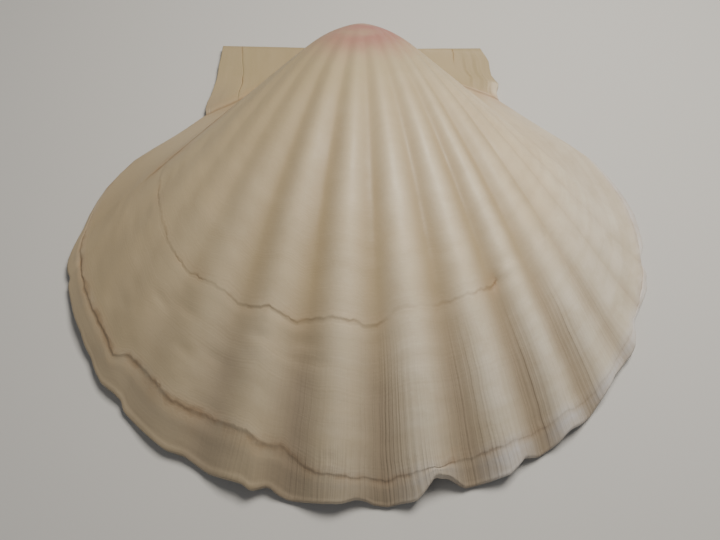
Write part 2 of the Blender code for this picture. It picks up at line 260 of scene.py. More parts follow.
STOP_A = [(-60, 0.800), (-48, 0.758), (-43.5, 0.752), (-38, 0.746), (-34, 0.752), (-31, 0.760),
          (-26, 0.766), (-20.5, 0.760), (-16, 0.764), (-12, 0.758), (-9, 0.766), (-7.5, 0.759),
          (-5.5, 0.754), (0.5, 0.760), (2.5, 0.756), (4, 0.744), (11, 0.742), (15, 0.752),
          (19.4, 0.745), (31, 0.750), (38, 0.766), (41, 0.780), (60, 0.800)]
STOP_B = [(-60, 0.965), (-47, 0.966), (-43, 0.956), (-39.5, 0.946), (-36.5, 0.940), (-33, 0.938),
          (-30.2, 0.948), (-28.2, 0.926), (-25, 0.926), (-21, 0.936), (-17.5, 0.928),
          (-12.2, 0.924), (-10.5, 0.934), (-8, 0.930), (-6.2, 0.946), (-4.8, 0.958), (-1, 0.962),
          (3, 0.964), (5.2, 0.960), (10.5, 0.956), (15, 0.960), (19.5, 0.964), (25, 0.972),
          (32, 0.968), (37, 0.972), (46, 0.978), (54, 0.974), (60, 0.970)]
STOP_A_ROW, STOP_B_ROW = 0.750, 0.950
# On the ears the first stop runs from the hinge (0) to the foot of the ear (1).
EAR_STOP_A = {LEFT: [(0, 0.867), (0.64, 0.808), (1, 0.800)],
              RIGHT: [(0, 0.765), (0.15, 0.752), (0.30, 0.724), (0.45, 0.735), (1, 0.800)]}
EAR_LEDGE = {LEFT: 0.10, RIGHT: 0.12}
RAGGED_A, RAGGED_B = 0.0009, 0.0008     # how ragged the two stops are, as shares of the size
# How high each ledge is at each angle, mm, and how far apart whole rows would lie.
ROW_LENGTH = 110.0
LEDGE_A = [(-60, 0.03), (-47, 0.06), (-30, 0.08), (-18, 0.10), (-14, 0.20), (2, 0.20), (4, 0.06),
           (9, 0.03), (12, 0.10), (18, 0.14), (22, 0.02), (32, 0.04), (60, 0.02)]
LEDGE_B = [(-60, 0.06), (-46, 0.13), (-30, 0.20), (-12, 0.20), (-5, 0.11), (9, 0.12), (15, 0.08),
           (22, 0.05), (34, 0.05), (38, 0.13), (52, 0.13), (60, 0.06)]
CHIPPED_EDGE = [(-60, 1.0), (-52, 0.968), (-48, 0.975), (-45, 0.993), (-36, 0.981), (-30, 0.996),
                (-28, 0.990), (-26, 1.0), (-20, 1.005), (-18, 0.997), (-15, 1.004), (-9, 0.995),
                (-7, 1.004), (-2, 1.001), (-0.5, 0.993), (1, 1.002), (5.2, 1.002), (6.2, 0.988),
                (7.3, 0.964), (8.7, 0.978), (10, 0.998), (14.5, 1.004), (16.5, 0.991), (18, 1.0),
                (25, 0.998), (29.5, 0.984), (33, 0.992), (36.8, 0.974), (41, 0.991), (44, 0.977),
                (46, 0.992), (52, 1.0), (60, 1.0)]

# The edge also grew fuller at the two borders, and drew in beside the ears: (angle, mm)...
FULLER_EDGE = [(-60, 0.0), (-56, -0.8), (-54, -0.6), (-51, 0.9), (-46, 1.0), (-40, 0.5), (-25, 0.3),
               (0, 0.0), (30, 0.0), (40, 0.5), (49, 1.0), (53, -0.7), (56, -1.1), (60, -0.6)]
# ...and small scallops (+) and chips (-) stand in it: (angle, half width in degrees, mm).
SMALL_CHIPS = [(-43, 0.6, -0.5), (-33, 1.0, -0.3), (-27, 0.6, -0.5), (-10.5, 0.7, 0.8),
               (-9, 0.6, -0.4), (0.5, 0.7, -0.4), (2.5, 0.6, 0.3), (7.5, 0.8, 0.8),
               (22, 1.2, -0.6), (34, 0.8, 0.4), (36, 0.6, -0.6), (42.5, 0.6, 0.5)]
# The same on the edge of each ear, from its hinge corner (0) to its foot (1).
FULLER_EAR = {LEFT: [(0, 0.45), (1, 0.40)],
              RIGHT: [(0, 0.45), (0.45, 0.40), (0.58, 0.90), (0.80, 0.0), (1, -0.30)]}


def rib_profile(angle):
    """0 in the floor of a furrow, 1 on the top of a rib."""
    if angle <= FURROWS[0] or angle >= FURROWS[-1]:
        return 0.0
    index = int(np.searchsorted(FURROWS, angle, side="right")) - 1
    share = (angle - FURROWS[index]) / (FURROWS[index + 1] - FURROWS[index])
    return (0.5 - 0.5 * math.cos(2 * math.pi * share)) ** table(RIB_ROUNDNESS, angle)


def growth_stage(row, angle, hinge_share=None):
    """The share of the present size that each growth line has at an angle."""
    ragged = math.sin(2.1 * angle) + 0.8 * math.sin(3.7 * angle + 1) + 0.6 * math.sin(7.3 * angle)
    first = table(STOP_A, angle) + RAGGED_A * ragged
    if hinge_share is not None:
        first = table(EAR_STOP_A[LEFT if angle < 0 else RIGHT], hinge_share)
    marks = [0.0, STOP_A_ROW, STOP_B_ROW, 1.0]
    second = table(STOP_B, angle) - RAGGED_B * ragged
    return np.interp(row, marks, [0.0, first, second, table(CHIPPED_EDGE, angle)])


print("ribs:", len(FURROWS) - 1)

# %% [markdown]
# ## The law of growth
#
# Each older edge is the present edge made smaller, by a share s, and turned about the hinge. The
# turning slowed as the animal grew. The disc also widened a little faster than it lengthened.
# Three lines of arithmetic give the whole arched form, which is why shells look so orderly. A
# sculpted dome could never keep the ribs, growth lines and umbo in step like this.

# %% The law of growth
EAR_FALL, EAR_DISH = 0.4, 0.35          # how far an ear falls to its edge, and is dished, mm
SHOULDER_START, SHOULDER_RUN = 0.70, 0.30   # the shoulders grew out late


def disc_point(angle, s, raised):
    """Points of the ribbed disc at one angle, for an array of shares s."""
    x, y = edge_point(angle)
    widening = WIDENING + SIDE_WIDENING * min(abs(angle) / DISC_ANGLE, 1.0) ** 6
    turn = TURN * (1 - s ** TURN_FADE) / TURN_FADE
    reach = s * (y - BEAK_Y)
    base = EDGE_HEIGHT + (BEAK_Z - EDGE_HEIGHT) * (1 - s)
    return np.stack([s ** (1 + widening) * x,
                     BEAK_Y + reach * np.cos(turn) + s * raised * np.sin(turn),
                     base - reach * np.sin(turn) + s * raised * np.cos(turn)], axis=-1)


def ear_point(side, share, s):
    """The ear: share runs along its edge from the hinge (0) to its foot at the disc (1)."""
    edge = np.array(EAR_EDGE[side])
    along = np.linspace(0, 1, len(edge))
    x = side * np.interp(share, along, edge[:, 0])
    y = np.interp(share, along, edge[:, 1])
    dish = EAR_DISH * 4 * share * (1 - share) * s
    return np.stack([s * x, HINGE_Y + s * (y - HINGE_Y), HINGE_Z - EAR_FALL * s - dish], axis=-1)


def flank_point(side, share, s, raised):
    """The steep side of the disc, from the foot of the ear (0) to the ribbed disc (1)."""
    low = ear_point(side, 1.0, s)
    high = disc_point(side * DISC_ANGLE, s, np.zeros_like(s))
    point = low + (high - low) * share
    bulge = s * smooth_step((s - SHOULDER_START) / SHOULDER_RUN)
    rim = edge_point(side * DISC_ANGLE)
    foot = np.array([side, 1]) * GEOMETRY[side]["foot"]
    offset = shoulder_point(side, share) - ((1 - share) * foot + share * rim)
    point[:, 0] += bulge * offset[0]
    point[:, 1] += bulge * offset[1]
    point[:, 2] += raised
    return point


top = disc_point(0.0, np.array([0.3, 0.6, 1.0]), np.zeros(3))
print("height of the middle at three ages, mm:", top[:, 2].round(1))

# %% [markdown]
# ## Rows and columns
#
# The sheet of faces has columns that run from the beak to the edge, one set for each ear, each
# steep flank and each rib, and rows that lie along the growth lines. The rows crowd together at
# the two ledges, where the surface changes within a fifth of a millimetre.

# %% Rows and columns of the outside sheet
PER_HINGE, PER_EAR, PER_FLANK, PER_RIB = 3, 11, 12, 24
EAR_ANGLE = 60.0         # the lists of growth stops and chips are read here for the ears
LEDGE_ROWS = np.array([-0.012, -0.007, -0.004, -0.002, -0.0008, 0.0, 0.0010, 0.0020, 0.0035,
                       0.006, 0.010, 0.015])


def make_columns(per_hinge, ear, per_flank, per_rib):
    """(zone, side, place) for each column, from the left end of the hinge to the right end."""
    hinge, flank = [np.linspace(0, 1, n + 1) for n in (per_hinge, per_flank)]
    columns = [("hinge", LEFT, place) for place in hinge[:-1]]
    columns += [("ear", LEFT, share) for share in ear[:-1]]
    columns += [("flank", LEFT, share) for share in flank[:-1]]
    for left, right in zip(FURROWS[:-1], FURROWS[1:]):
        columns += [("disc", 0, angle) for angle in np.linspace(left, right, per_rib + 1)[:-1]]
    columns += [("flank", RIGHT, share) for share in flank[::-1]]
    columns += [("ear", RIGHT, share) for share in ear[-2::-1]]
    columns += [("hinge", RIGHT, place) for place in hinge[-2::-1]]
    return columns


def column_angle(column):
    """The angle whose growth stops and chips a column follows."""
    zone, side, place = column
    if zone == "disc":
        return place
    if zone == "flank":
        return side * (EAR_ANGLE - (EAR_ANGLE - DISC_ANGLE) * place)
    return side * EAR_ANGLE


def hinge_share(column):
    """How far an ear column is from the hinge; None on the disc."""
    zone, side, place = column
    return dict(ear=place, hinge=0.0).get(zone)


outside_rows = np.concatenate([
    [0.0, 0.030, 0.042, 0.054, 0.066, 0.078, 0.090],
    np.linspace(0.102, STOP_A_ROW + LEDGE_ROWS[0], 89, endpoint=False),
    STOP_A_ROW + LEDGE_ROWS,
    np.linspace(STOP_A_ROW + LEDGE_ROWS[-1], STOP_B_ROW + LEDGE_ROWS[0], 27)[1:-1],
    STOP_B_ROW + LEDGE_ROWS,
    np.linspace(STOP_B_ROW + LEDGE_ROWS[-1], 0.994, 8)[1:]])
ear_shares = np.linspace(0, 1, PER_EAR + 1)
outside_columns = make_columns(PER_HINGE, ear_shares, PER_FLANK, PER_RIB)
print("outside sheet:", len(outside_columns), "columns,", len(outside_rows), "rows")

# %% [markdown]
# ## Fine relief
#
# Real shell is never as clean as its law: low waves run over it, all smaller than a millimetre,
# and they catch the side light. A noise texture with a displace modifier could raise them, but
# then they would follow space and not the growth. So they come from a seeded table of random
# numbers, which is read along the rows and columns and is the same every time.

# %% Random waves
chance = np.random.default_rng(7)
WAVE_TABLE = chance.uniform(-1, 1, (64, 64))


def waves(across, along):
    """Smooth random waves between -1 and 1; one wave is about two units long."""
    i, j = np.floor(across).astype(int), np.floor(along).astype(int)
    u, v = smooth_step(across - i), smooth_step(along - j)
    corner = [[WAVE_TABLE[(i + a) % 64, (j + b) % 64] for b in (0, 1)] for a in (0, 1)]
    return ((1 - u) * ((1 - v) * corner[0][0] + v * corner[0][1])
            + u * ((1 - v) * corner[1][0] + v * corner[1][1]))


print("steepest step between two waves:", round(float(np.abs(np.diff(WAVE_TABLE)).max()), 2))

# %% [markdown]
# ## Ledges and bruises
#
# At a growth stop the old edge thickened, and the new shell began in a fine groove below it and
# swelled again. Knocks have bruised the ribs here and there. A ledge could be a sharp crease in
# the mesh, but it would be equally sharp everywhere. A height that falls within about half a
# millimetre, strong at one angle and weak at another, looks grown.

# %% Ledges and bruises
# (angle, share of the present size, half width along the rib in mm, half width across, depth)
BRUISES = [(-23.5, 0.815, 0.9, 3.0, 0.32), (-22.0, 0.865, 0.9, 2.2, 0.26),
           (-18.0, 0.85, 1.0, 2.6, 0.28), (-28.0, 0.83, 0.8, 2.4, 0.24),
           (-12.5, 0.80, 0.8, 2.2, 0.28), (-9.5, 0.80, 2.2, 2.0, 0.22),
           (-8.5, 0.815, 0.6, 3.5, 0.24), (-7.0, 0.79, 0.6, 2.5, 0.24),
           (-4.9, 0.815, 0.7, 2.4, 0.26), (19.5, 0.744, 0.9, 0.9, 0.50),
           (21.5, 0.757, 0.5, 2.6, 0.22), (22.5, 0.735, 0.6, 2.4, 0.22),
           (31.0, 0.745, 1.0, 0.7, 0.45), (36.0, 0.62, 0.8, 0.6, 0.30),
           (-3.2, 0.94, 0.5, 1.6, 0.22), (-9.0, 0.945, 0.5, 3.2, 0.20),
           (-43.6, 0.962, 0.9, 0.9, 0.35), (6.0, 0.60, 1.0, 1.2, 0.22)]


# The ledge across a stop: lengths along the growth in mm, heights as shares of the ledge.
THICKENED_RUN, DROP_RUN = 2.4, 0.6
GROOVE, GROOVE_RUN = 0.35, 0.5
NEW_RIDGE, NEW_RIDGE_PLACE, NEW_RIDGE_RUN = 0.55, 1.9, 0.55


def ledge(row, angle):
    """The old edge thickens before a stop, drops to a fine groove, and the new one swells."""
    height = np.zeros_like(row)
    for stop, sizes in ((STOP_A_ROW, LEDGE_A), (STOP_B_ROW, LEDGE_B)):
        size = table(sizes, angle)
        past = (row - stop) * ROW_LENGTH
        drop = smooth_step(past / DROP_RUN)
        thickened = size * np.exp(past / THICKENED_RUN)
        groove = GROOVE * size * drop * np.exp(-(past - DROP_RUN) / GROOVE_RUN)
        height += np.where(past <= 0, thickened, size * (1 - drop) - groove)
        height += NEW_RIDGE * size * np.exp(-((past - NEW_RIDGE_PLACE) / NEW_RIDGE_RUN) ** 2)
    return height


def bruises(angle, s):
    """How far the bruises dent one column."""
    height = np.zeros_like(s)
    for centre, share, along, across, depth in BRUISES:
        aside = (angle - centre) * DEGREE * share
        away = (s - share) * GROWTH_LENGTH
        height -= depth * np.exp(-(aside / across) ** 2 - (away / along) ** 2)
    return height


print("bruises:", len(BRUISES))

# %% [markdown]
# ## The relief of the disc
#
# The ribs, ledges, bruises and waves are all heights over the same smooth disc, so they are added
# up for one column at a time. Each could be a displace modifier of its own instead, but then the
# cells of the mesh would no longer lie on the growth lines that the heights are read from.

# %% Relief of the disc
SLOW_WAVES, QUICK_WAVES = 0.16, 0.08    # mm
# The last ribs on the right are crumpled: (angle, mm).
CRUMPLED = [(26, 0.0), (40, 0.13), (60, 0.13)]
# The umbo is fuller at its two sides: (angle, mm), around a share of the present size.
UMBO_SIDES = [(-48, 1.75), (-32, 1.6), (-6, 0.0), (6, 0.0), (32, 1.3), (48, 1.3)]
UMBO_SHARE, UMBO_SPREAD = 0.24, 0.10


def disc_relief(angle, row, s):
    """Everything that stands on the smooth disc at one angle."""
    grown = smooth_step((s - RIBS_START) / (RIBS_FULL - RIBS_START))
    rib = table(RIB_HEIGHT, angle) * rib_profile(angle) * grown
    slow = SLOW_WAVES * waves(np.full_like(s, angle / 7 + 20), s * 16)
    quick = QUICK_WAVES * waves(np.full_like(s, angle / 2.2 + 5), s * 60)
    crumpled = table(CRUMPLED, angle) * smooth_step((s - 0.70) / 0.1)
    crumpled = crumpled * waves(np.full_like(s, angle / 1.1), s * 70)
    uneven = (slow + quick) * smooth_step(s / 0.5) + crumpled
    fuller = table(UMBO_SIDES, angle) * np.exp(-((s - UMBO_SHARE) / UMBO_SPREAD) ** 2)
    return rib + ledge(row, angle) + bruises(angle, s) + uneven + fuller


top = disc_relief(-2.6, np.array([0.3, 0.9]), np.array([0.3, 0.9]))
print("relief on the middle rib, young and old, mm:", top.round(2))

# %% [markdown]
# ## The relief of the ears
#
# The ears are thin and nearly flat. The left one shows one growth line. The right one is crumpled
# into wrinkles that run with its growth, and ends in a lobe of younger shell. Wrinkles could be
# drawn in a bump only, but these throw small shadows, so they are in the mesh.

# %% Relief of the ears
# The right ear: wrinkles as (share of the present size, mm), and a lobe at its outer edge, mm.
WRINKLES = [(0.80, 0.0), (0.825, 0.35), (0.87, 0.0), (0.91, 0.45), (0.94, 0.0), (0.975, 0.30),
            (1.0, 0.0)]
LOBE_HEIGHT = 0.5
EAR_WAVES = 0.06


def hinge_part(share):
    """1 on the part of an ear near the hinge, and 0 from near its middle to its foot."""
    return smooth_step((0.42 - share) / 0.2)


def ear_relief(side, share, row, s):
    """Everything that stands on a smooth ear at one share of its edge."""
    past = (row - STOP_A_ROW) * ROW_LENGTH
    height = EAR_LEDGE[side] * (np.clip(-past / 0.2, -1, 0) - np.exp(-(past / 0.35) ** 2))
    if side == RIGHT:
        height *= hinge_part(share)
        height += LOBE_HEIGHT * smooth_step((share - 0.62) / 0.15) * smooth_step((s - 0.93) / 0.03)
    height += EAR_WAVES * waves(np.full_like(s, share * 5 + 40), s * 20)
    if side == RIGHT:
        near_foot = smooth_step(share / 0.3) * smooth_step((1 - share) / 0.2)
        height += table(WRINKLES, s) * near_foot
    return height


print("wrinkles on the right ear, mm:", max(height for share, height in WRINKLES))

# %% [markdown]
# ## The outside sheet
#
# First the places of its points are worked out, column by column: each has a zone, disc, flank,
# ear or hinge, and the law of growth gives its curve. Three extra columns at each side round off
# the hinge edge. A bevel would round it too, but would break the even rows.

# %% Plain curves of the columns
HINGE_ROUND = 0.4
# Where the hinge edge turns the corner of the ear, its columns fan out, mm.
CORNER_SHIFT = {("hinge", 1 / 3): 0.55, ("hinge", 2 / 3): 0.70, ("ear", 0): 0.45}


def hinge_point(side, place, s):
    """The hinge edge, from its rounded lower corner (0) up to the ear (1)."""
    point = ear_point(side, 0.0, s)
    if place == 0:
        point[:, 1] -= HINGE_ROUND * smooth_step(s / 0.35)
        point[:, 2] = 0.0
    elif place < 0.5:
        point[:, 2] = HINGE_ROUND
    else:
        point[:, 2] -= HINGE_ROUND
    return point


def smooth_point(column, s):
    """A column without its relief."""
    zone, side, place = column
    if zone == "disc":
        return disc_point(place, s, np.zeros_like(s))
    if zone == "flank":
        return flank_point(side, place, s, np.zeros_like(s))
    if zone == "hinge":
        return hinge_point(side, place, s)
    point = ear_point(side, place, s)
    if place == 0:
        point[:, 1] -= HINGE_ROUND * smooth_step(s / 0.35)
    return point


def edge_inward(columns):
    """The plain direction from the edge towards the inside, for each column."""
    places = []
    for column in columns:
        zone, side, place = column
        if zone == "disc":
            places.append(edge_point(place))
        elif zone == "flank":
            places.append(shoulder_point(side, place))
        else:
            places.append(smooth_point(column, np.array([1.0]))[0, :2])
    places = np.array(places)
    along = np.gradient(places, axis=0)
    inward = np.stack([-along[:, 1], along[:, 0]], axis=1)
    inward /= np.linalg.norm(inward, axis=1, keepdims=True) + 1e-9
    for index, (zone, side, place) in enumerate(columns):
        if zone in ("ear", "hinge"):
            to_beak = np.array([0, HINGE_Y]) - places[index]
            inward[index] = to_beak / np.linalg.norm(to_beak)
    return inward


inward = edge_inward(outside_columns)
print("directions along the edge:", len(inward))

# %% [markdown]
# ## The worn edge
#
# The present edge is chipped, a little fuller at the borders and worn flat where it stands on the
# table. Cutting the chips out of a finished shell would leave ragged faces. Here only the rows
# that grew last are pushed in or out, so the growth lines bend along with each chip.

# %% The worn edge
RIM_FLAT = 0.7           # how far the furrows are worn flat underneath, mm
EDGE_WEAR_START = 0.93   # the chips reach in to this share of the present size


def edge_shift(column, s, inward):
    """Scallops, chips and fuller borders, which only move what grew last."""
    zone, side, place = column
    angle = column_angle(column)
    outward = table(FULLER_EDGE, angle)
    for centre, width, size in SMALL_CHIPS:
        outward += size * math.exp(-((angle - centre) / width) ** 2)
    if zone in ("ear", "hinge"):
        outward = table(FULLER_EAR[side], place if zone == "ear" else 0.0)
    reach = np.clip((s - EDGE_WEAR_START) / (1 - EDGE_WEAR_START), 0, 1)
    return -outward * reach[:, None] * inward


def underside_height(column):
    """How high the lower corner of the edge is: the furrows are worn flat to stand on."""
    zone, side, place = column
    if zone != "disc":
        return 0.0
    return max(table(RIB_HEIGHT, place) * rib_profile(place) - RIM_FLAT, 0.0)


print("lower corner of the edge at a rib, mm:", round(underside_height(("disc", 0, -2.6)), 2))

# %% [markdown]
# ## From the curves to points
#
# Now every column gets its curve, its relief and, as the last seven rows, its turn round the worn
# lip. A bevel on the rim could turn the lip as well, but it would come after the sheet is made,
# and its points would carry no growth marks for the colours.

# %% Points of the outside sheet
LIP = 0.5                # how far the worn lip is rounded, mm
LIP_TURNS = np.radians([62, 36, 12, -12, -36, -62, -90])
FLANK_WAVES = 0.12       # mm
CORNER_DRAW = HINGE_ROUND / 28      # the lower corner of the hinge edge draws in by this share


def outside_column(column, inward):
    """All points of one column, from the beak over the edge to its underside."""
    zone, side, place = column
    angle = column_angle(column)
    s = growth_stage(outside_rows, angle, hinge_share(column))
    if zone == "disc":
        points = disc_point(place, s, disc_relief(place, outside_rows, s))
    elif zone == "flank":
        uneven = FLANK_WAVES * smooth_step(place / 0.3) * waves(np.full_like(s, place * 3 + 50), s * 16)
        points = flank_point(side, place, s, ledge(outside_rows, angle) + uneven * s)
    else:
        points = smooth_point(column, s)
        if zone == "ear":
            points[:, 2] += ear_relief(side, place, outside_rows, s)
    rim = smooth_point(column, growth_stage(np.array([1.0]), angle))[0]
    upper, lower = points[-1, 2], underside_height(column)
    inset = LIP * (1 - np.cos(LIP_TURNS))
    lip = np.empty((len(LIP_TURNS), 3))
    lip[:, :2] = rim[:2] + inset[:, None] * inward
    lip[:, 2] = (upper + lower) / 2 + (upper - lower) / 2 * np.sin(LIP_TURNS)
    if zone == "hinge" and place == 0:
        tip = points[-1, :2] / outside_rows[-1]
        lip[:, 0] = tip[0] * np.linspace(outside_rows[-1], 1.0, len(LIP_TURNS) + 1)[1:]
        lip[:, 1] = points[-1, 1]
    if (zone, place) in CORNER_SHIFT:
        lip[:, 1] -= CORNER_SHIFT[zone, place] * (1 - np.sin(LIP_TURNS)) / 2
    points = np.concatenate([points, lip])
    if zone == "hinge" and place == 0:
        points[:, 0] *= 1 - CORNER_DRAW
    points[:, :2] += edge_shift(column, np.append(s, np.ones(len(LIP_TURNS))), inward)
    return points


outside = np.array([outside_column(column, inward[i]) for i, column in enumerate(outside_columns)])
print("outside, mm:", outside.reshape(-1, 3).min(0).round(1), outside.reshape(-1, 3).max(0).round(1))

# %% [markdown]
# ## The inside sheet
#
# The inside is the same law without the growth lines: a smooth cup between two flat undersides.
# A thickness modifier would copy the growth lines to the inside, which a real shell smooths over,
# so it gets a sheet of its own. It has half as many rows and columns, since nothing there is fine.

# %% Measures of the inside
WALL = [(0.2, 3.0), (0.7, 2.0), (1.0, 1.5)]     # (row, thickness in mm)
FOLD_START, FOLD_SHARE = 0.55, 0.85
RIDGE_WIDTH = 2.2
COATS = 14               # how often the inside is evened out
CUP_START = 0.2          # the cup ends here, above the hinge pit
PIT_SIZE, PIT_DEPTH = 0.6, 1.8
ROOF_START, ROOF_SLOPE = 1.2, 1.6   # how high the cup may be at the hinge, and its rise from there
SEAM = 1.1               # distance of the flat underside from the hinge edge
UNDER_SHARE = 0.95       # how near the flat underside of an ear comes to its edge
BAND_INSETS = np.array([1.7, 1.3, 1.0, 0.75])

inside_shares = np.concatenate([[0, 0.075], ear_shares[1::2]])
inside_columns = make_columns(0, inside_shares, PER_FLANK // 2, PER_RIB // 2)
inside_rows = outside_rows[::2]
inside_inward = edge_inward(inside_columns)
cup_first, cup_last = len(inside_shares) - 1, len(inside_columns) - len(inside_shares)
print("inside sheet:", len(inside_columns), "columns,", len(inside_rows) + 4, "rows")

# %% [markdown]
# ## The undersides of the ears
#
# Underneath, the ears are flat, and the shell rests on them. A low ridge backs each ear where it
# meets the cup. The flat part could be cut with a plane, but then it would have no rows to join
# to the outside, so its points are set to height zero instead.

# %% Undersides of the ears
def ridge_foot(side, s):
    """The foot of the ridge that backs the ear, seen from above."""
    foot = ear_point(side, 1.0, s)[:, :2]
    run = np.abs(ear_point(side, 1.0, np.array([1.0]))[0, :2] - np.array([0, HINGE_Y]))
    run /= np.linalg.norm(run)
    width = RIDGE_WIDTH * np.interp(s, [0, CUP_START, 0.85, UNDER_SHARE], [0, 1, 1, 0.5])
    foot = foot + width[:, None] * np.array([-side * run[1], -run[0]])
    foot[:, 1] -= SEAM * np.clip(1 - s / CUP_START, 0, 1)
    return foot


def flat_column(column):
    """The flat underside of an ear."""
    zone, side, share = column
    s = inside_rows * UNDER_SHARE
    foot = ear_point(side, 1.0, s)[:, :2]
    flat = ear_point(side, share, s)
    flat[:, :2] += share * (ridge_foot(side, s) - foot)
    flat[:, 1] -= SEAM * (1 - share)
    flat[:, 2] = 0.0
    return flat


print("foot of the left ridge, mm:", ridge_foot(LEFT, np.array([0.5]))[0].round(1))

# %% [markdown]
# ## The cup
#
# The wall is three millimetres thick near the umbo and half that at the edge. So the cup is the
# smooth outside, moved inwards along its normal by a thickness that changes with the row. Near
# the edge the ribs show through as low folds. Scaling the outside down towards the hinge would
# be simpler, but the wall would come out thin there.

# %% The cup
def cup_surface(column):
    """The surface that a column of the cup lies under."""
    zone, side, place = column
    s = growth_stage(inside_rows, column_angle(column))
    if zone == "flank":
        return flank_point(side, place, s, np.zeros_like(s))
    fold = FOLD_SHARE * smooth_step((s - FOLD_START) / (1 - FOLD_START))
    return disc_point(place, s, table(RIB_HEIGHT, place) * rib_profile(place) * fold)


cup_columns = inside_columns[cup_first:cup_last + 1]
surface = np.array([cup_surface(column) for column in cup_columns])
start = int(np.searchsorted(inside_rows, CUP_START))
across, along = np.gradient(surface, axis=0), np.gradient(surface, axis=1)
normal = np.cross(along, across)
normal /= np.linalg.norm(normal, axis=2, keepdims=True) + 1e-12
normal *= np.sign(normal[len(cup_columns) // 2, -5, 2])
cup = surface - normal * np.array([table(WALL, row) for row in inside_rows])[None, :, None]

# Beside the ears the cup starts from the flat foot of the ridge.
for side, order in ((LEFT, 1), (RIGHT, -1)):
    s = inside_rows * UNDER_SHARE
    foot = np.zeros((len(s), 3))
    foot[:, :2] = ridge_foot(side, s)
    low = ear_point(side, 1.0, inside_rows)
    for step in range(PER_FLANK // 2):
        index = step if order == 1 else len(cup_columns) - 1 - step
        place = cup_columns[index][2]
        weight = smooth_step(place / 0.85)
        shifted = surface[index] + (foot - low)
        cup[index] = (1 - weight) * shifted + weight * cup[index]
cup[:, :, 2] = np.maximum(cup[:, :, 2], 0.0)
print("height inside the cup, mm:", cup[:, :, 2].max().round(1))

# %% [markdown]
# ## The pit of the hinge pad
#
# Under the beak lies a small pit. It held the rubbery pad that sprang the two valves open. A hole
# could be cut for it, but the columns of the cup already run to the beak, so they are led through
# the mouth of the pit on their way.

# %% The pit of the hinge pad
# Below its start the cup closes down to the pit of the hinge pad, and the pit runs to the beak.
apex = np.array([0, HINGE_Y - SEAM, 0])
arch = cup[:, start].copy()
ends = np.array([arch[0], arch[-1]])
spread = np.concatenate([[0], np.cumsum(np.linalg.norm(np.diff(arch, axis=0), axis=1))])
spread = (spread / spread[-1])[:, None]
mouth = apex + PIT_SIZE * (ends[0] + spread * (ends[1] - ends[0]) - apex)
mouth[:, 2] = PIT_DEPTH * (4 * spread[:, 0] * (1 - spread[:, 0])) ** 2
for index, row in enumerate(inside_rows[:start]):
    share = row / inside_rows[start]
    if share < PIT_SIZE:
        cup[:, index] = apex + share / PIT_SIZE * (mouth - apex)
    else:
        cup[:, index] = mouth + (share - PIT_SIZE) / (1 - PIT_SIZE) * (arch - mouth)

# Close to the hinge the cup stays below the ears.
behind = np.maximum(HINGE_Y - 1.0 - cup[:, :, 1], 0)
cup[:, :, 2] = np.minimum(cup[:, :, 2], ROOF_START + ROOF_SLOPE * behind)
print("pit depth, mm:", mouth[:, 2].max().round(1))

# %% [markdown]
# ## One even inside
#
# Glossy layers filled every fold and corner inside, except along the edge, which is too young for
# it. A smooth modifier would round the edge as well. A few passes of averaging across the columns,
# weighted by the row, even out only the older part. Four rows then lead the sheet to the lip.

# %% Points of the inside sheet
# The animal coated its side again and again: everything is evened out except close to the edge.
softened = smooth_step((0.88 - inside_rows) / 0.2)[None, :, None]
for coat in range(COATS):
    even = 0.25 * cup[:-2] + 0.5 * cup[1:-1] + 0.25 * cup[2:]
    cup[1:-1] += softened * (even - cup[1:-1])

inside = np.concatenate([[flat_column(column) for column in inside_columns[:cup_first]], cup,
                         [flat_column(column) for column in inside_columns[cup_last + 1:]]])
band = np.empty((len(inside_columns), len(BAND_INSETS), 3))
for index, column in enumerate(inside_columns):
    rim = smooth_point(column, growth_stage(np.array([1.0]), column_angle(column)))[0]
    band[index, :, :2] = rim[:2] + BAND_INSETS[:, None] * inside_inward[index]
    band[index, :, 2] = underside_height(column)
    if column[0] == "ear" and column[2] == 0:
        band[index, :, 1] -= SEAM - HINGE_ROUND
inside = np.concatenate([inside, band], axis=1)
for index, column in enumerate(inside_columns):
    s = np.append(growth_stage(inside_rows, column_angle(column)), np.ones(len(BAND_INSETS)))
    inside[index, :, :2] += edge_shift(column, s, inside_inward[index])
print("inside, mm:", inside.reshape(-1, 3).min(0).round(1), inside.reshape(-1, 3).max(0).round(1))

# %% [markdown]
# ## Pulling the two sheets into shape
#
# Each sheet is added as a flat square grid with a corner point for every row and column. A point
# reads its place in the square, sideways for the column and upwards for the row, and moves to its
# place on the shell. Sculpting would leave no clean rows, and the rows are what the growth lines
# and the small ribs follow later.

# %% Make the two sheets
def make_sheet(name, points):
    """A grid of faces whose corner points move to their places. points is (column, row, xyz)."""
    columns, rows = points.shape[:2]
    bpy.ops.object.select_all(action="DESELECT")
    bpy.ops.mesh.primitive_grid_add(x_subdivisions=columns - 1, y_subdivisions=rows - 1, size=1.0)
    sheet = bpy.context.object
    sheet.name = name
    flat = np.empty(columns * rows * 3, dtype=np.float32)
    sheet.data.vertices.foreach_get("co", flat)
    flat = flat.reshape(-1, 3)
    column = np.rint((flat[:, 0] + 0.5) * (columns - 1)).astype(int)
    row = np.rint((flat[:, 1] + 0.5) * (rows - 1)).astype(int)
    placed = (points[column, row] + MIDDLE) * MM
    sheet.data.vertices.foreach_set("co", placed.astype(np.float32).ravel())
    sheet.data.update()
    return sheet, column, row


outside_sheet, outside_column_of, outside_row_of = make_sheet("scallop_shell", outside)
inside_sheet, inside_column_of, inside_row_of = make_sheet("inside_sheet", inside)
print("points:", len(outside_sheet.data.vertices), "+", len(inside_sheet.data.vertices))

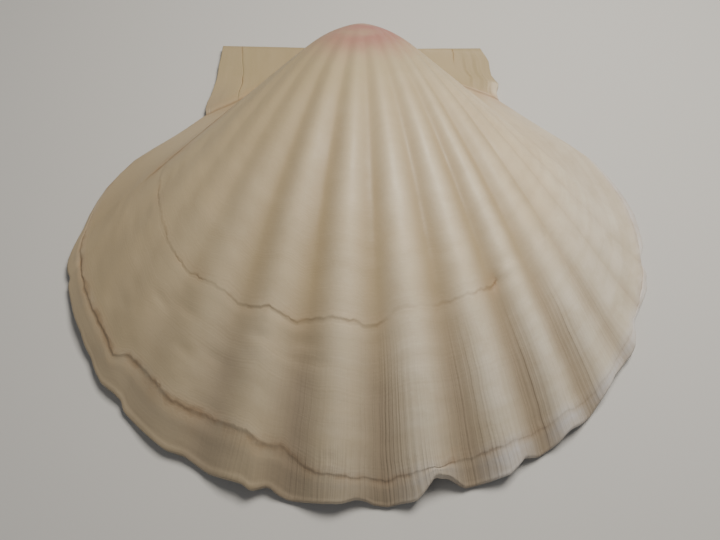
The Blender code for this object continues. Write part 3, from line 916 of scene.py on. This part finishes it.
# %% [markdown]
# ## Marks that follow the growth
#
# Colour and fine bumps on a shell follow its growth lines and ribs, not the directions of space.
# So each point stores where it lies: how far it is along the growth, at which angle, and how deep
# in a furrow. It also stores where dirt has settled and shade is painted, and where the umbo is
# rosy and painted darker as shade. A UV map could hold two of these numbers, but named attributes
# are easier to read in the materials.

# %% Where stain and dirt settle
# How dirty and how darkened with painted shade the furrows are, how strong the small ribs are,
# also in the outer band, and how brown the two stops are, each as (angle, strength).
FURROW_DIRT_AND_SHADE = [(-48, 0.05), (-34, 0.12), (-26, 0.22), (-20, 0.5), (-14, 0.9), (-8, 1.0), (22, 1.0),
               (28, 0.75), (34, 0.45), (40, 0.25), (48, 0.1)]
SMALL_RIBS = [(-48, 0.0), (-14, 0.0), (-8, 0.20), (0, 0.45), (3, 0.80), (30, 0.90), (33, 0.50),
              (37, 0.15), (48, 0.0)]
BAND_RIBS = [(-20, 0.0), (-12, 0.30), (2, 0.55), (28, 0.3), (36, 0.0)]
STAIN_A = [(-60, 0.35), (-48, 0.5), (-36, 0.4), (-24, 0.5), (-17, 0.42), (-12, 0.32), (2, 0.38),
           (4, 0.12), (11, 0.2), (15, 0.4), (18.7, 0.5), (19.4, 1.3), (19.9, 0.1), (23, 0.0),
           (28, 0.0), (30.4, 0.3), (31, 1.3), (31.6, 0.3), (34, 0.0), (60, 0.0)]
STAIN_B = [(-60, 0.5), (-48, 0.7), (-44.3, 0.8), (-43.6, 1.8), (-42.8, 0.8), (-30, 0.85),
           (-12, 0.75), (-6, 0.55), (8, 0.5), (9.5, 0.9), (11, 0.6), (15, 0.35), (24, 0.15),
           (34, 0.15), (38, 0.5), (50, 0.5), (60, 0.2)]
STOPS_DIVIDE = 0.85      # rows below belong to the first stop, rows above to the second
THIN_DIRT = 0.15
# The grooves at the feet of the ears start at these shares of the present size. A crack runs
# along the left border of the ribs.
FOOT_START = {LEFT: 0.12, RIGHT: 0.42}
CRACK_ANGLE = -47.6
CRACK_FLANK = 0.6        # the crack also shows on this outer part of the left flank
FLANK_WIDTH, EAR_WIDTH = 14.0, 22.0     # mm on the present edge
print("stains on the first stop:", len(STAIN_A), "points, on the second:", len(STAIN_B))

# %% [markdown]
# ## Marks of each part
#
# Dirt and painted shade fill the furrows, the small ribs are clearest in them, the umbo is rosy and
# painted darker as shade, brown seams run along the feet of the ears, and the lower part of the
# left ear is painted darker as shade. Each of these could be painted by hand as a colour attribute.
# Worked out from the same shares and angles as the mesh, they lie exactly where the relief is.

# %% Marks of the disc, flanks and ears
def foot_seam(side, s):
    """The groove at the foot of an ear."""
    return smooth_step((s - FOOT_START[side]) / 0.15)


def crack_seam(s):
    """The crack along the left border of the ribs, which begins and ends within the disc."""
    return smooth_step((s - 0.54) / 0.08) * smooth_step((0.84 - s) / 0.06)


def umbo_rose_and_shade(s):
    """The rosy colour of the young shell, also painted darker as shade at the top of the umbo."""
    return smooth_step((0.350 - s) / 0.13)


def disc_marks(angle, s):
    """Marks of a column on the ribbed disc. foot is its distance from the crack, mm."""
    depth = 1 - rib_profile(angle)
    furrow = depth * smooth_step((s - 0.22) / 0.40) * table(FURROW_DIRT_AND_SHADE, angle)
    small_rib = table(SMALL_RIBS, angle) * smooth_step((s - 0.74) / 0.15) * (0.22 + 0.78 * depth)
    outer_band = table(BAND_RIBS, angle) * smooth_step((s - 0.90) / 0.05)
    return dict(furrow=furrow, small_rib=np.maximum(small_rib, outer_band),
                foot=np.abs(angle - CRACK_ANGLE) * DEGREE * s,
                seam=crack_seam(s) if angle < 0 else 0 * s)


def flank_marks(side, place, s):
    """Marks of a column on a flank. foot is its distance from the ear's foot or the crack, mm."""
    foot, seam = place * FLANK_WIDTH * s, foot_seam(side, s)
    if side == LEFT:
        to_crack = (1 - place) * FLANK_WIDTH + (DISC_ANGLE + CRACK_ANGLE) * DEGREE
        foot = np.minimum(foot, to_crack * s)
        if place > CRACK_FLANK:
            seam = crack_seam(s)
    return dict(foot=foot, seam=seam, rose_and_shade=umbo_rose_and_shade(s) * smooth_step(place / 0.8))


def ear_marks(side, share, rows, s):
    """Marks of a column on an ear. The left ear is painted darker low down as shade, the right one has a
    lobe.
    """
    stained = 0.7 if side == LEFT else 0.7 * hinge_part(share)
    marks = dict(across=side * (100 - 40 * share) + 0 * s, foot=-(1 - share) * EAR_WIDTH * s,
                 ear=1 + 0 * s, rose_and_shade=0 * s, seam=foot_seam(side, s),
                 stain=np.where(rows < STOPS_DIVIDE, stained, 0.0))
    if side == LEFT:
        # Painted shade: the lower part of the left ear, towards its foot, is darkened.
        lower_ear_shade = 0.55 * smooth_step((s - 0.78) / 0.2) * smooth_step((share - 0.45) / 0.5)
        marks["furrow"] = THIN_DIRT + lower_ear_shade
    else:
        marks["chalk"] = smooth_step((share - 0.60) / 0.1) * smooth_step((s - 0.92) / 0.04)
    return marks


# The furrow mark at the foot of the left ear is thin dirt and painted shade.
print("dirt on the left ear at its foot:", ear_marks(LEFT, 1.0, np.ones(1), np.ones(1))["furrow"])

# %% [markdown]
# ## Storing the marks
#
# A named attribute holds one number for each point, and the material reads it by its name. The
# sheets know the row and column of every point, so the numbers need no search. Both sheets get
# the same names, because they become one object later.

# %% Store the marks on the points
def column_marks(column, rows):
    """Where one column lies, and what has settled on it."""
    zone, side, place = column
    angle = column_angle(column)
    s = growth_stage(rows, angle, hinge_share(column))
    stain = np.where(rows < STOPS_DIVIDE, table(STAIN_A, angle), table(STAIN_B, angle))
    marks = dict(growth=rows * GROWTH_LENGTH, across=angle + 0 * s, furrow=THIN_DIRT + 0 * s,
                 small_rib=0 * s, foot=0 * s, ear=0 * s, rose_and_shade=umbo_rose_and_shade(s), stain=stain,
                 seam=0 * s, chalk=0 * s)
    if zone == "disc":
        marks.update(disc_marks(place, s))
    elif zone == "flank":
        marks.update(flank_marks(side, place, s))
    else:
        marks.update(ear_marks(side, hinge_share(column), rows, s))
    return marks


def store_marks(sheet, columns, rows, column_of, row_of):
    """Each mark becomes a named attribute with one value for each point."""
    marks = [column_marks(column, rows) for column in columns]
    for name in marks[0]:
        values = np.array([mark[name] for mark in marks])[column_of, row_of]
        attribute = sheet.data.attributes.new(name, "FLOAT", "POINT")
        attribute.data.foreach_set("value", values.astype(np.float32))


outside_marks_rows = np.concatenate([outside_rows, np.linspace(0.996, 1.0, len(LIP_TURNS))])
inside_marks_rows = np.concatenate([inside_rows, np.linspace(0.992, 1.0, len(BAND_INSETS))])
store_marks(outside_sheet, outside_columns, outside_marks_rows, outside_column_of, outside_row_of)
store_marks(inside_sheet, inside_columns, inside_marks_rows, inside_column_of, inside_row_of)
print("attributes:", [a.name for a in outside_sheet.data.attributes])

# %% [markdown]
# ## Shared effects
#
# The outside and the inside show the same growth lines, in different strengths. Such an effect
# is best a node group with named inputs and outputs, built once and placed in both materials.
# The small ribs and the stains are groups too, which keeps the outside material readable. Nodes
# could be placed by hand for each, but a few short helpers make every kind in one line.

# %% Helpers for node groups
def new_group(name, inputs, outputs):
    """A shader node group. inputs is {name: default}, outputs a list of names."""
    group = bpy.data.node_groups.new(name, "ShaderNodeTree")
    for label, default in inputs.items():
        kind = "NodeSocketVector" if default is None else "NodeSocketFloat"
        socket = group.interface.new_socket(label, in_out="INPUT", socket_type=kind)
        if default is not None:
            socket.default_value = default
    for label in outputs:
        group.interface.new_socket(label, in_out="OUTPUT", socket_type="NodeSocketFloat")
    return group, group.nodes.new("NodeGroupInput"), group.nodes.new("NodeGroupOutput")


def set_inputs(tree, node, values):
    """Give each input of a node a number, or a link from another node."""
    for key, value in values.items():
        if isinstance(value, bpy.types.NodeSocket):
            tree.links.new(value, node.inputs[key])
        else:
            node.inputs[key].default_value = value
    return node


def math_node(tree, operation, first, second=0.0, third=0.0, clamp=False):
    """One step of arithmetic."""
    node = tree.nodes.new("ShaderNodeMath")
    node.operation = operation
    node.use_clamp = clamp
    set_inputs(tree, node, {0: first, 1: second, 2: third})
    return node.outputs[0]


def noise(tree, vector, scale, detail=2.0, roughness=0.5):
    """Noise that changes from place to place."""
    node = tree.nodes.new("ShaderNodeTexNoise")
    set_inputs(tree, node, {"Vector": vector, "Scale": scale, "Detail": detail,
                            "Roughness": roughness})
    return node.outputs["Fac"]


def noise_line(tree, distance, scale, detail=2.0):
    """Noise that changes along one distance only."""
    node = tree.nodes.new("ShaderNodeTexNoise")
    node.noise_dimensions = "1D"
    set_inputs(tree, node, {"W": distance, "Scale": scale, "Detail": detail})
    return node.outputs["Fac"]


def ranged(tree, value, low, high, to_low=0.0, to_high=1.0):
    """Stretch the values between low and high to another range, and cut off the rest."""
    node = tree.nodes.new("ShaderNodeMapRange")
    set_inputs(tree, node, {"Value": value, "From Min": low, "From Max": high,
                            "To Min": to_low, "To Max": to_high})
    return node.outputs["Result"]


def attribute(tree, name):
    """A mark that the points store."""
    node = tree.nodes.new("ShaderNodeAttribute")
    node.attribute_name = name
    return node.outputs["Fac"]


def object_place(tree):
    return tree.nodes.new("ShaderNodeTexCoord").outputs["Object"]


print("helpers ready")

# %% [markdown]
# ## Growth lines
#
# Under a lens the shell is a stack of thin lines, one for each day or two of growth, gathered in
# stronger bands. Noise along the growth distance gives lines of uneven spacing, which a regular
# wave would not, and a little noise from the place in space keeps them from being perfectly even.

# %% Growth lines group
def growth_lines_group():
    """Fine lines and broader bands, from the distance along the growth."""
    group, entry, result = new_group("growth_lines", {"Growth": 0.0, "Place": None},
                                     ["Fine", "Bands"])
    place = entry.outputs["Place"]
    wander = ranged(group, noise(group, place, 90.0), 0.3, 0.7, -0.35, 0.35)
    distance = math_node(group, "ADD", entry.outputs["Growth"], wander)
    fine = noise_line(group, distance, 3.2, 3.0)
    bands = noise_line(group, distance, 0.35, 3.0)
    group.links.new(ranged(group, fine, 0.35, 0.65), result.inputs["Fine"])
    group.links.new(ranged(group, bands, 0.35, 0.65), result.inputs["Bands"])
    return group


growth_lines = growth_lines_group()
print("growth lines:", len(growth_lines.nodes), "nodes")

# %% [markdown]
# ## Small ribs
#
# Fine ridges run along the big ribs, about a millimetre apart at the edge and clearest in the
# furrows. They are far too fine for the mesh, so noise across the angle raises them in a bump. A
# striped wave would be too even. They fade towards the umbo, where the young shell had none yet.

# %% Small ribs group
RIBLETS = 2.7            # noise cells per degree


def small_ribs_group():
    """The height of the small ribs, and how deep in a trough between them a place is."""
    group, entry, result = new_group("small_ribs", {"Across": 0.0, "Strength": 0.0, "Place": None},
                                     ["Height", "Trough"])
    wander = ranged(group, noise(group, entry.outputs["Place"], 60.0), 0.3, 0.7, -0.22, 0.22)
    across = math_node(group, "ADD", entry.outputs["Across"], wander)
    wave = ranged(group, noise_line(group, across, RIBLETS, 1.0), 0.36, 0.64)
    uneven = ranged(group, noise(group, entry.outputs["Place"], 75.0, 3.0), 0.30, 0.60, 0.5, 1.0)
    strength = math_node(group, "MULTIPLY", uneven, entry.outputs["Strength"])
    group.links.new(math_node(group, "MULTIPLY", wave, strength), result.inputs["Height"])
    dark = math_node(group, "SUBTRACT", 1.0, wave)
    group.links.new(math_node(group, "MULTIPLY", dark, strength), result.inputs["Trough"])
    return group


small_ribs = small_ribs_group()
print("small ribs:", len(small_ribs.nodes), "nodes")

# %% [markdown]
# ## Stain in the grooves
#
# Brown dirt lies in the groove below each growth stop and along the foot of each ear. The mesh
# is too coarse to hold such a thin line, but the distance to it changes evenly from point to
# point. So the line is drawn from that distance, and noise makes it waver, swell and break.

# %% Stain lines group
def stain_lines_group():
    """Thin brown lines in the grooves, and the paler halo around them."""
    group, entry, result = new_group("stain_lines", {"Growth": 0.0, "Foot": 9.0, "Stain": 0.0,
                                                     "Seam": 0.0, "Place": None}, ["Line", "Halo"])
    place = entry.outputs["Place"]
    waver = ranged(group, noise(group, place, 220.0, 4.0, 0.6), 0.3, 0.7, -0.42, 0.42)
    width = ranged(group, noise(group, place, 330.0, 2.0), 0.3, 0.7, 0.25, 0.95)
    broken = ranged(group, noise(group, place, 150.0, 3.0), 0.40, 0.58, 0.05, 1.0)
    lines, halos = [], []
    for stop, swell in ((STOP_A_ROW, 0.6), (STOP_B_ROW, 1.4)):
        past = math_node(group, "SUBTRACT", entry.outputs["Growth"], stop * GROWTH_LENGTH + 0.3)
        away = math_node(group, "ABSOLUTE", math_node(group, "ADD", past, waver))
        lines.append(ranged(group, away, math_node(group, "MULTIPLY", width, swell), 0.0))
        halos.append(ranged(group, away, 2.2, 0.0, 0.0, 0.6))
    line = math_node(group, "MAXIMUM", lines[0], lines[1])
    line = math_node(group, "MULTIPLY", math_node(group, "MULTIPLY", line, broken),
                     entry.outputs["Stain"])
    away = math_node(group, "ABSOLUTE", math_node(group, "MULTIPLY_ADD", waver, 0.5,
                                                  entry.outputs["Foot"]))
    seam = math_node(group, "MULTIPLY", ranged(group, away, 0.75, 0.10), entry.outputs["Seam"])
    group.links.new(math_node(group, "MAXIMUM", line, seam), result.inputs["Line"])
    halo = math_node(group, "MULTIPLY", math_node(group, "MAXIMUM", halos[0], halos[1]),
                     entry.outputs["Stain"])
    around = math_node(group, "MULTIPLY", ranged(group, away, 3.0, 0.3), entry.outputs["Seam"])
    halo = math_node(group, "MULTIPLY", math_node(group, "MAXIMUM", halo, around), broken)
    group.links.new(halo, result.inputs["Halo"])
    return group


stain_lines = stain_lines_group()
print("stain lines:", len(stain_lines.nodes), "nodes")

# %% [markdown]
# ## The outside of the shell
#
# Chalky cream shell, khaki where the furrows hold dirt and painted shade, warmer and darker to the
# left, rosy at the umbo and painted darker there as shade, with brown lines in the ledges and the
# grooves of the ears, and painted shade beside the feet of the ears and between the small ribs.
# One colour ramp could not hold so many causes. So the colours are mixed one over the other, each
# by its own mask, as thin washes of paint would be.

# %% Colours of the outside
def mix_colour(tree, factor, below, above):
    node = tree.nodes.new("ShaderNodeMix")
    node.data_type = "RGBA"
    set_inputs(tree, node, {0: factor, 6: below, 7: above})
    return node.outputs[2]


def group_node(tree, group, values):
    node = tree.nodes.new("ShaderNodeGroup")
    node.node_tree = group
    return set_inputs(tree, node, values)


CREAM = (0.74, 0.61, 0.415, 1)
PALE = (0.80, 0.69, 0.52, 1)
TAN = (0.50, 0.39, 0.235, 1)
# KHAKI stands for dirt, and also for painted shade in the furrows and beside the feet of the ears.
KHAKI = (0.41, 0.31, 0.175, 1)
# MAUVE is dirt and painted shade in the later furrows, and painted shade between the small ribs.
MAUVE = (0.37, 0.29, 0.20, 1)
HORN = (0.42, 0.335, 0.18, 1)
CHALK = (0.75, 0.70, 0.61, 1)
# The rose is mixed darker than the shell's own rose, as painted shade on the top of the umbo.
ROSE_AND_SHADE = (0.44, 0.20, 0.165, 1)
BROWN = (0.24, 0.14, 0.07, 1)
OCHRE = (0.60, 0.30, 0.12, 1)
LILAC_GREY = (0.78, 0.75, 0.74, 1)


# The colour of the furrows stands for dirt and painted shade.
print("clean shell:", CREAM[:3], "dirt in the furrows:", KHAKI[:3])

# %% [markdown]
# ## Washes of colour
#
# Each wash has a mask, a strength and a colour, and lies over the ones before it: first the clean
# shell, then what growth did to it, and last the dirt and the painted shade. So a wash can be made
# weaker or left out on its own. Painting the colours into the attributes would be quicker to
# render, but the mesh is too coarse for blotches with a crisp edge.

# %% Washes of colour
def outside_colour(tree, place, mark, lines, ribs, stains):
    """The washes, from the clean shell up to the dirt in the grooves."""
    x = tree.nodes.new("ShaderNodeSeparateXYZ")
    tree.links.new(place, x.inputs[0])
    left = ranged(tree, x.outputs["X"], 0.010, -0.050, 0.0, 0.95)
    right = ranged(tree, x.outputs["X"], -0.010, 0.030)
    growth = mark["growth"]

    def wash(colour, mask, share, above):
        """One more thin wash of colour over the layers below."""
        factor = math_node(tree, "MULTIPLY", mask, share, clamp=True)
        return mix_colour(tree, factor, colour, above)

    # The clean shell is cloudy cream, and turns tan to the left.
    clouds = ranged(tree, noise(tree, place, 38.0, 4.0, 0.6), 0.35, 0.65)
    colour = mix_colour(tree, clouds, CREAM, PALE)
    colour = wash(colour, left, 1.0, TAN)
    # The oldest shell and the ears look like horn.
    colour = wash(colour, ranged(tree, growth, 66.0, 36.0), 0.68, HORN)
    early = math_node(tree, "MULTIPLY", ranged(tree, growth, 96.0, 50.0), left)
    colour = wash(colour, early, 0.60, HORN)
    colour = wash(colour, mark["ear"], 0.90, HORN)
    # Painted shade: a khaki wash darkens the shell within 5 mm of the foot of each ear and of the crack.
    near_foot = ranged(tree, math_node(tree, "ABSOLUTE", mark["foot"]), 5.0, 0.0)
    colour = wash(colour, near_foot, 0.30, KHAKI)
    # The tops of the ribs are whiter in front on the right, and the outermost band is grey.
    late = ranged(tree, growth, 76.0, 92.0)
    crest = math_node(tree, "SUBTRACT", right, mark["furrow"], clamp=True)
    crest = math_node(tree, "SUBTRACT", crest, mark["ear"], clamp=True)
    colour = wash(colour, math_node(tree, "MULTIPLY", crest, late), 0.55, CHALK)
    outer = ranged(tree, growth, 101.2, 104.0)
    outer = math_node(tree, "SUBTRACT", outer, mark["ear"], clamp=True)
    bright = math_node(tree, "MULTIPLY_ADD", right, 0.7, 0.25)
    colour = wash(colour, math_node(tree, "MULTIPLY", outer, bright), 0.95, LILAC_GREY)
    colour = wash(colour, math_node(tree, "SUBTRACT", outer, right, clamp=True), 0.60, KHAKI)
    # Painted shade in the troughs between the small ribs, growth bands, the young lobe and blotches.
    colour = wash(colour, ribs.outputs["Trough"], 0.45, MAUVE)
    colour = wash(colour, lines.outputs["Bands"], 0.18, TAN)
    colour = wash(colour, mark["chalk"], 0.85, PALE)
    blotch = ranged(tree, noise(tree, place, 150.0, 5.0, 0.65), 0.45, 0.75)
    colour = wash(colour, blotch, 0.45, TAN)
    # Dirt and painted shade in the furrows, the rosy umbo painted darker as shade, with its dull side,
    # and brown lines in the grooves.
    colour = wash(colour, mark["furrow"], 0.97, mix_colour(tree, late, KHAKI, MAUVE))
    patchy = ranged(tree, noise(tree, place, 140.0, 3.0), 0.35, 0.60, 0.55, 1.0)
    colour = wash(colour, math_node(tree, "MULTIPLY", mark["rose_and_shade"], patchy), 1.0, ROSE_AND_SHADE)
    umbo_side = math_node(tree, "MULTIPLY", ranged(tree, mark["across"], -4.0, -38.0),
                          ranged(tree, growth, 80.0, 30.0))
    colour = wash(colour, umbo_side, 0.62, KHAKI)
    colour = wash(colour, stains.outputs["Halo"], 0.30, OCHRE)
    colour = wash(colour, stains.outputs["Line"], 0.55, BROWN)
    return colour


def outside_height(tree, place, lines, ribs, stains):
    """The relief that is too fine for the mesh."""
    fine = math_node(tree, "MULTIPLY", lines.outputs["Fine"], 0.03)
    height = math_node(tree, "MULTIPLY_ADD", ribs.outputs["Height"], 0.70, fine)
    height = math_node(tree, "MULTIPLY_ADD", noise(tree, place, 1400.0, 2.0), 0.10, height)
    height = math_node(tree, "MULTIPLY_ADD", stains.outputs["Line"], -0.4, height)
    return height


print("washes ready")

# %% [markdown]
# ## The outside material
#
# The shader is one ordinary surface, dull and a little uneven in its gloss. Only its colour, its
# roughness and its bump are fed by nodes. Real displacement could raise the small ribs too, but
# they are under a quarter of a millimetre high, and a bump shows them as well.

# %% Outside material
def outside_material():
    """A chalky shader that reads the marks on the points."""
    material = bpy.data.materials.new("shell_outside")
    material.use_nodes = True
    tree = material.node_tree
    shader = tree.nodes["Principled BSDF"]
    place = object_place(tree)
    mark = {name: attribute(tree, name) for name in
            ("growth", "across", "furrow", "small_rib", "foot", "ear", "rose_and_shade", "stain", "seam",
             "chalk")}
    lines = group_node(tree, growth_lines, {"Growth": mark["growth"], "Place": place})
    ribs = group_node(tree, small_ribs, {"Across": mark["across"], "Strength": mark["small_rib"],
                                         "Place": place})
    stains = group_node(tree, stain_lines, {"Growth": mark["growth"], "Foot": mark["foot"],
                                            "Stain": mark["stain"], "Seam": mark["seam"],
                                            "Place": place})
    colour = outside_colour(tree, place, mark, lines, ribs, stains)
    tree.links.new(colour, shader.inputs["Base Color"])
    rough = ranged(tree, noise(tree, place, 160.0, 3.0), 0.3, 0.7, 0.46, 0.62)
    tree.links.new(rough, shader.inputs["Roughness"])
    height = outside_height(tree, place, lines, ribs, stains)
    bump = tree.nodes.new("ShaderNodeBump")
    set_inputs(tree, bump, {"Height": height, "Distance": 0.00025, "Strength": 0.8})
    tree.links.new(bump.outputs["Normal"], shader.inputs["Normal"])
    return material


outside_sheet.data.materials.append(outside_material())
print("outside material:", len(outside_sheet.data.materials[0].node_tree.nodes), "nodes")

# %% [markdown]
# ## The inside of the shell
#
# The inside is smooth and a little glossy, like glazed china. It is whiter in the cup and brown
# rose towards the edge, and has a dull round scar where the muscle held. The scar could be a dent
# in the mesh. It is mostly a change of gloss, though, so a distance in the material is enough.

# %% Inside material
INSIDE_WHITE = (0.78, 0.73, 0.66, 1)
INSIDE_EDGE = (0.52, 0.40, 0.31, 1)
SCAR_PLACE, SCAR_RADIUS = (0.012, 0.004, 0.018), 0.019


def inside_material():
    """A glossier shader with the scar of the muscle."""
    material = bpy.data.materials.new("shell_inside")
    material.use_nodes = True
    tree = material.node_tree
    shader = tree.nodes["Principled BSDF"]
    place = object_place(tree)
    growth = attribute(tree, "growth")
    lines = group_node(tree, growth_lines, {"Growth": growth, "Place": place})
    clouds = ranged(tree, noise(tree, place, 30.0, 4.0, 0.6), 0.35, 0.65, 0.0, 0.35)
    colour = mix_colour(tree, clouds, INSIDE_WHITE, CREAM)
    colour = mix_colour(tree, ranged(tree, growth, 78.0, 104.0, 0.0, 0.7), colour, INSIDE_EDGE)
    to_scar = tree.nodes.new("ShaderNodeVectorMath")
    to_scar.operation = "DISTANCE"
    set_inputs(tree, to_scar, {0: place, 1: SCAR_PLACE})
    uneven = ranged(tree, noise(tree, place, 90.0, 3.0), 0.3, 0.7, -0.0025, 0.0025)
    distance = math_node(tree, "ADD", to_scar.outputs["Value"], uneven)
    scar = ranged(tree, distance, SCAR_RADIUS, SCAR_RADIUS - 0.005)
    colour = mix_colour(tree, math_node(tree, "MULTIPLY", scar, 0.18), colour, INSIDE_EDGE)
    tree.links.new(colour, shader.inputs["Base Color"])
    rough = ranged(tree, noise(tree, place, 120.0, 3.0), 0.3, 0.7, 0.24, 0.36)
    rough = math_node(tree, "MULTIPLY_ADD", scar, 0.22, rough)
    tree.links.new(rough, shader.inputs["Roughness"])
    bump = tree.nodes.new("ShaderNodeBump")
    set_inputs(tree, bump, {"Height": lines.outputs["Bands"], "Distance": 0.0001, "Strength": 0.5})
    tree.links.new(bump.outputs["Normal"], shader.inputs["Normal"])
    return material


inside_sheet.data.materials.append(inside_material())
print("inside material:", len(inside_sheet.data.materials[0].node_tree.nodes), "nodes")

# %% [markdown]
# ## One closed shell
#
# The two sheets become one object, and a ring of faces closes the gap between their edges. The
# bridge operator could do that too, but the fine edge has two points for each one of the coarse
# edge, and a short function keeps them in step. Points that lie on each other at the beak are
# then merged, and the faces are turned to point outwards. The new faces get the inside material.

# %% Join and close the shell
bpy.ops.object.select_all(action="DESELECT")
inside_sheet.select_set(True)
outside_sheet.select_set(True)
bpy.context.view_layer.objects.active = outside_sheet
bpy.ops.object.join()
shell = bpy.context.object


def stitch(mesh, fine, coarse):
    """A ring of faces between a line of points and one with half as many."""
    for index in range(len(coarse) - 1):
        near, far = coarse[index], coarse[index + 1]
        first, middle, last = fine[2 * index:2 * index + 3]
        for corners in ((near, first, middle), (near, middle, far), (far, middle, last)):
            mesh.faces.new(corners).material_index = 1


mesh = bmesh.new()
mesh.from_mesh(shell.data)
mesh.verts.ensure_lookup_table()
points = np.array(mesh.verts, dtype=object)
outer = points[:outside[:, :, 0].size].reshape(outside.shape[1], outside.shape[0])
inner = points[outside[:, :, 0].size:].reshape(inside.shape[1], inside.shape[0])
stitch(mesh, outer[:, 0], inner[:, 0])
stitch(mesh, outer[:, -1], inner[:, -1])
stitch(mesh, outer[-1], inner[-1])
mesh.to_mesh(shell.data)
mesh.free()

bpy.ops.object.mode_set(mode="EDIT")
bpy.ops.mesh.select_all(action="SELECT")
bpy.ops.mesh.remove_doubles(threshold=1e-6)
bpy.ops.mesh.select_all(action="SELECT")
bpy.ops.mesh.normals_make_consistent(inside=False)
bpy.ops.object.mode_set(mode="OBJECT")
bpy.ops.object.shade_smooth()
print("shell:", len(shell.data.vertices), "points,", len(shell.data.polygons), "faces")

# %% [markdown]
# ## The shell in the model
#
# A valve is one rigid thing, so the shell moves with the only body there is. It takes the place
# of the plain solid, which would show through its chips otherwise. The plain solid could also be
# kept and dressed, but it is too coarse for the growth lines.

# %% Place the shell in the model
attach(shell, "root")
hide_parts("scallop_valve")
print("materials:", [material.name for material in shell.data.materials])

# %% [markdown]
# ## Measuring the result
#
# Last, the size of the finished shell is printed. It should agree with the box of the fixed model
# within about three per cent on each side. Only the worn edge and the full umbo go a little past it.

# %% Print the size of the shell and finish
low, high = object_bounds()
print("scene, mm:", [round(1000 * (h - l), 1) for l, h in zip(low, high)])
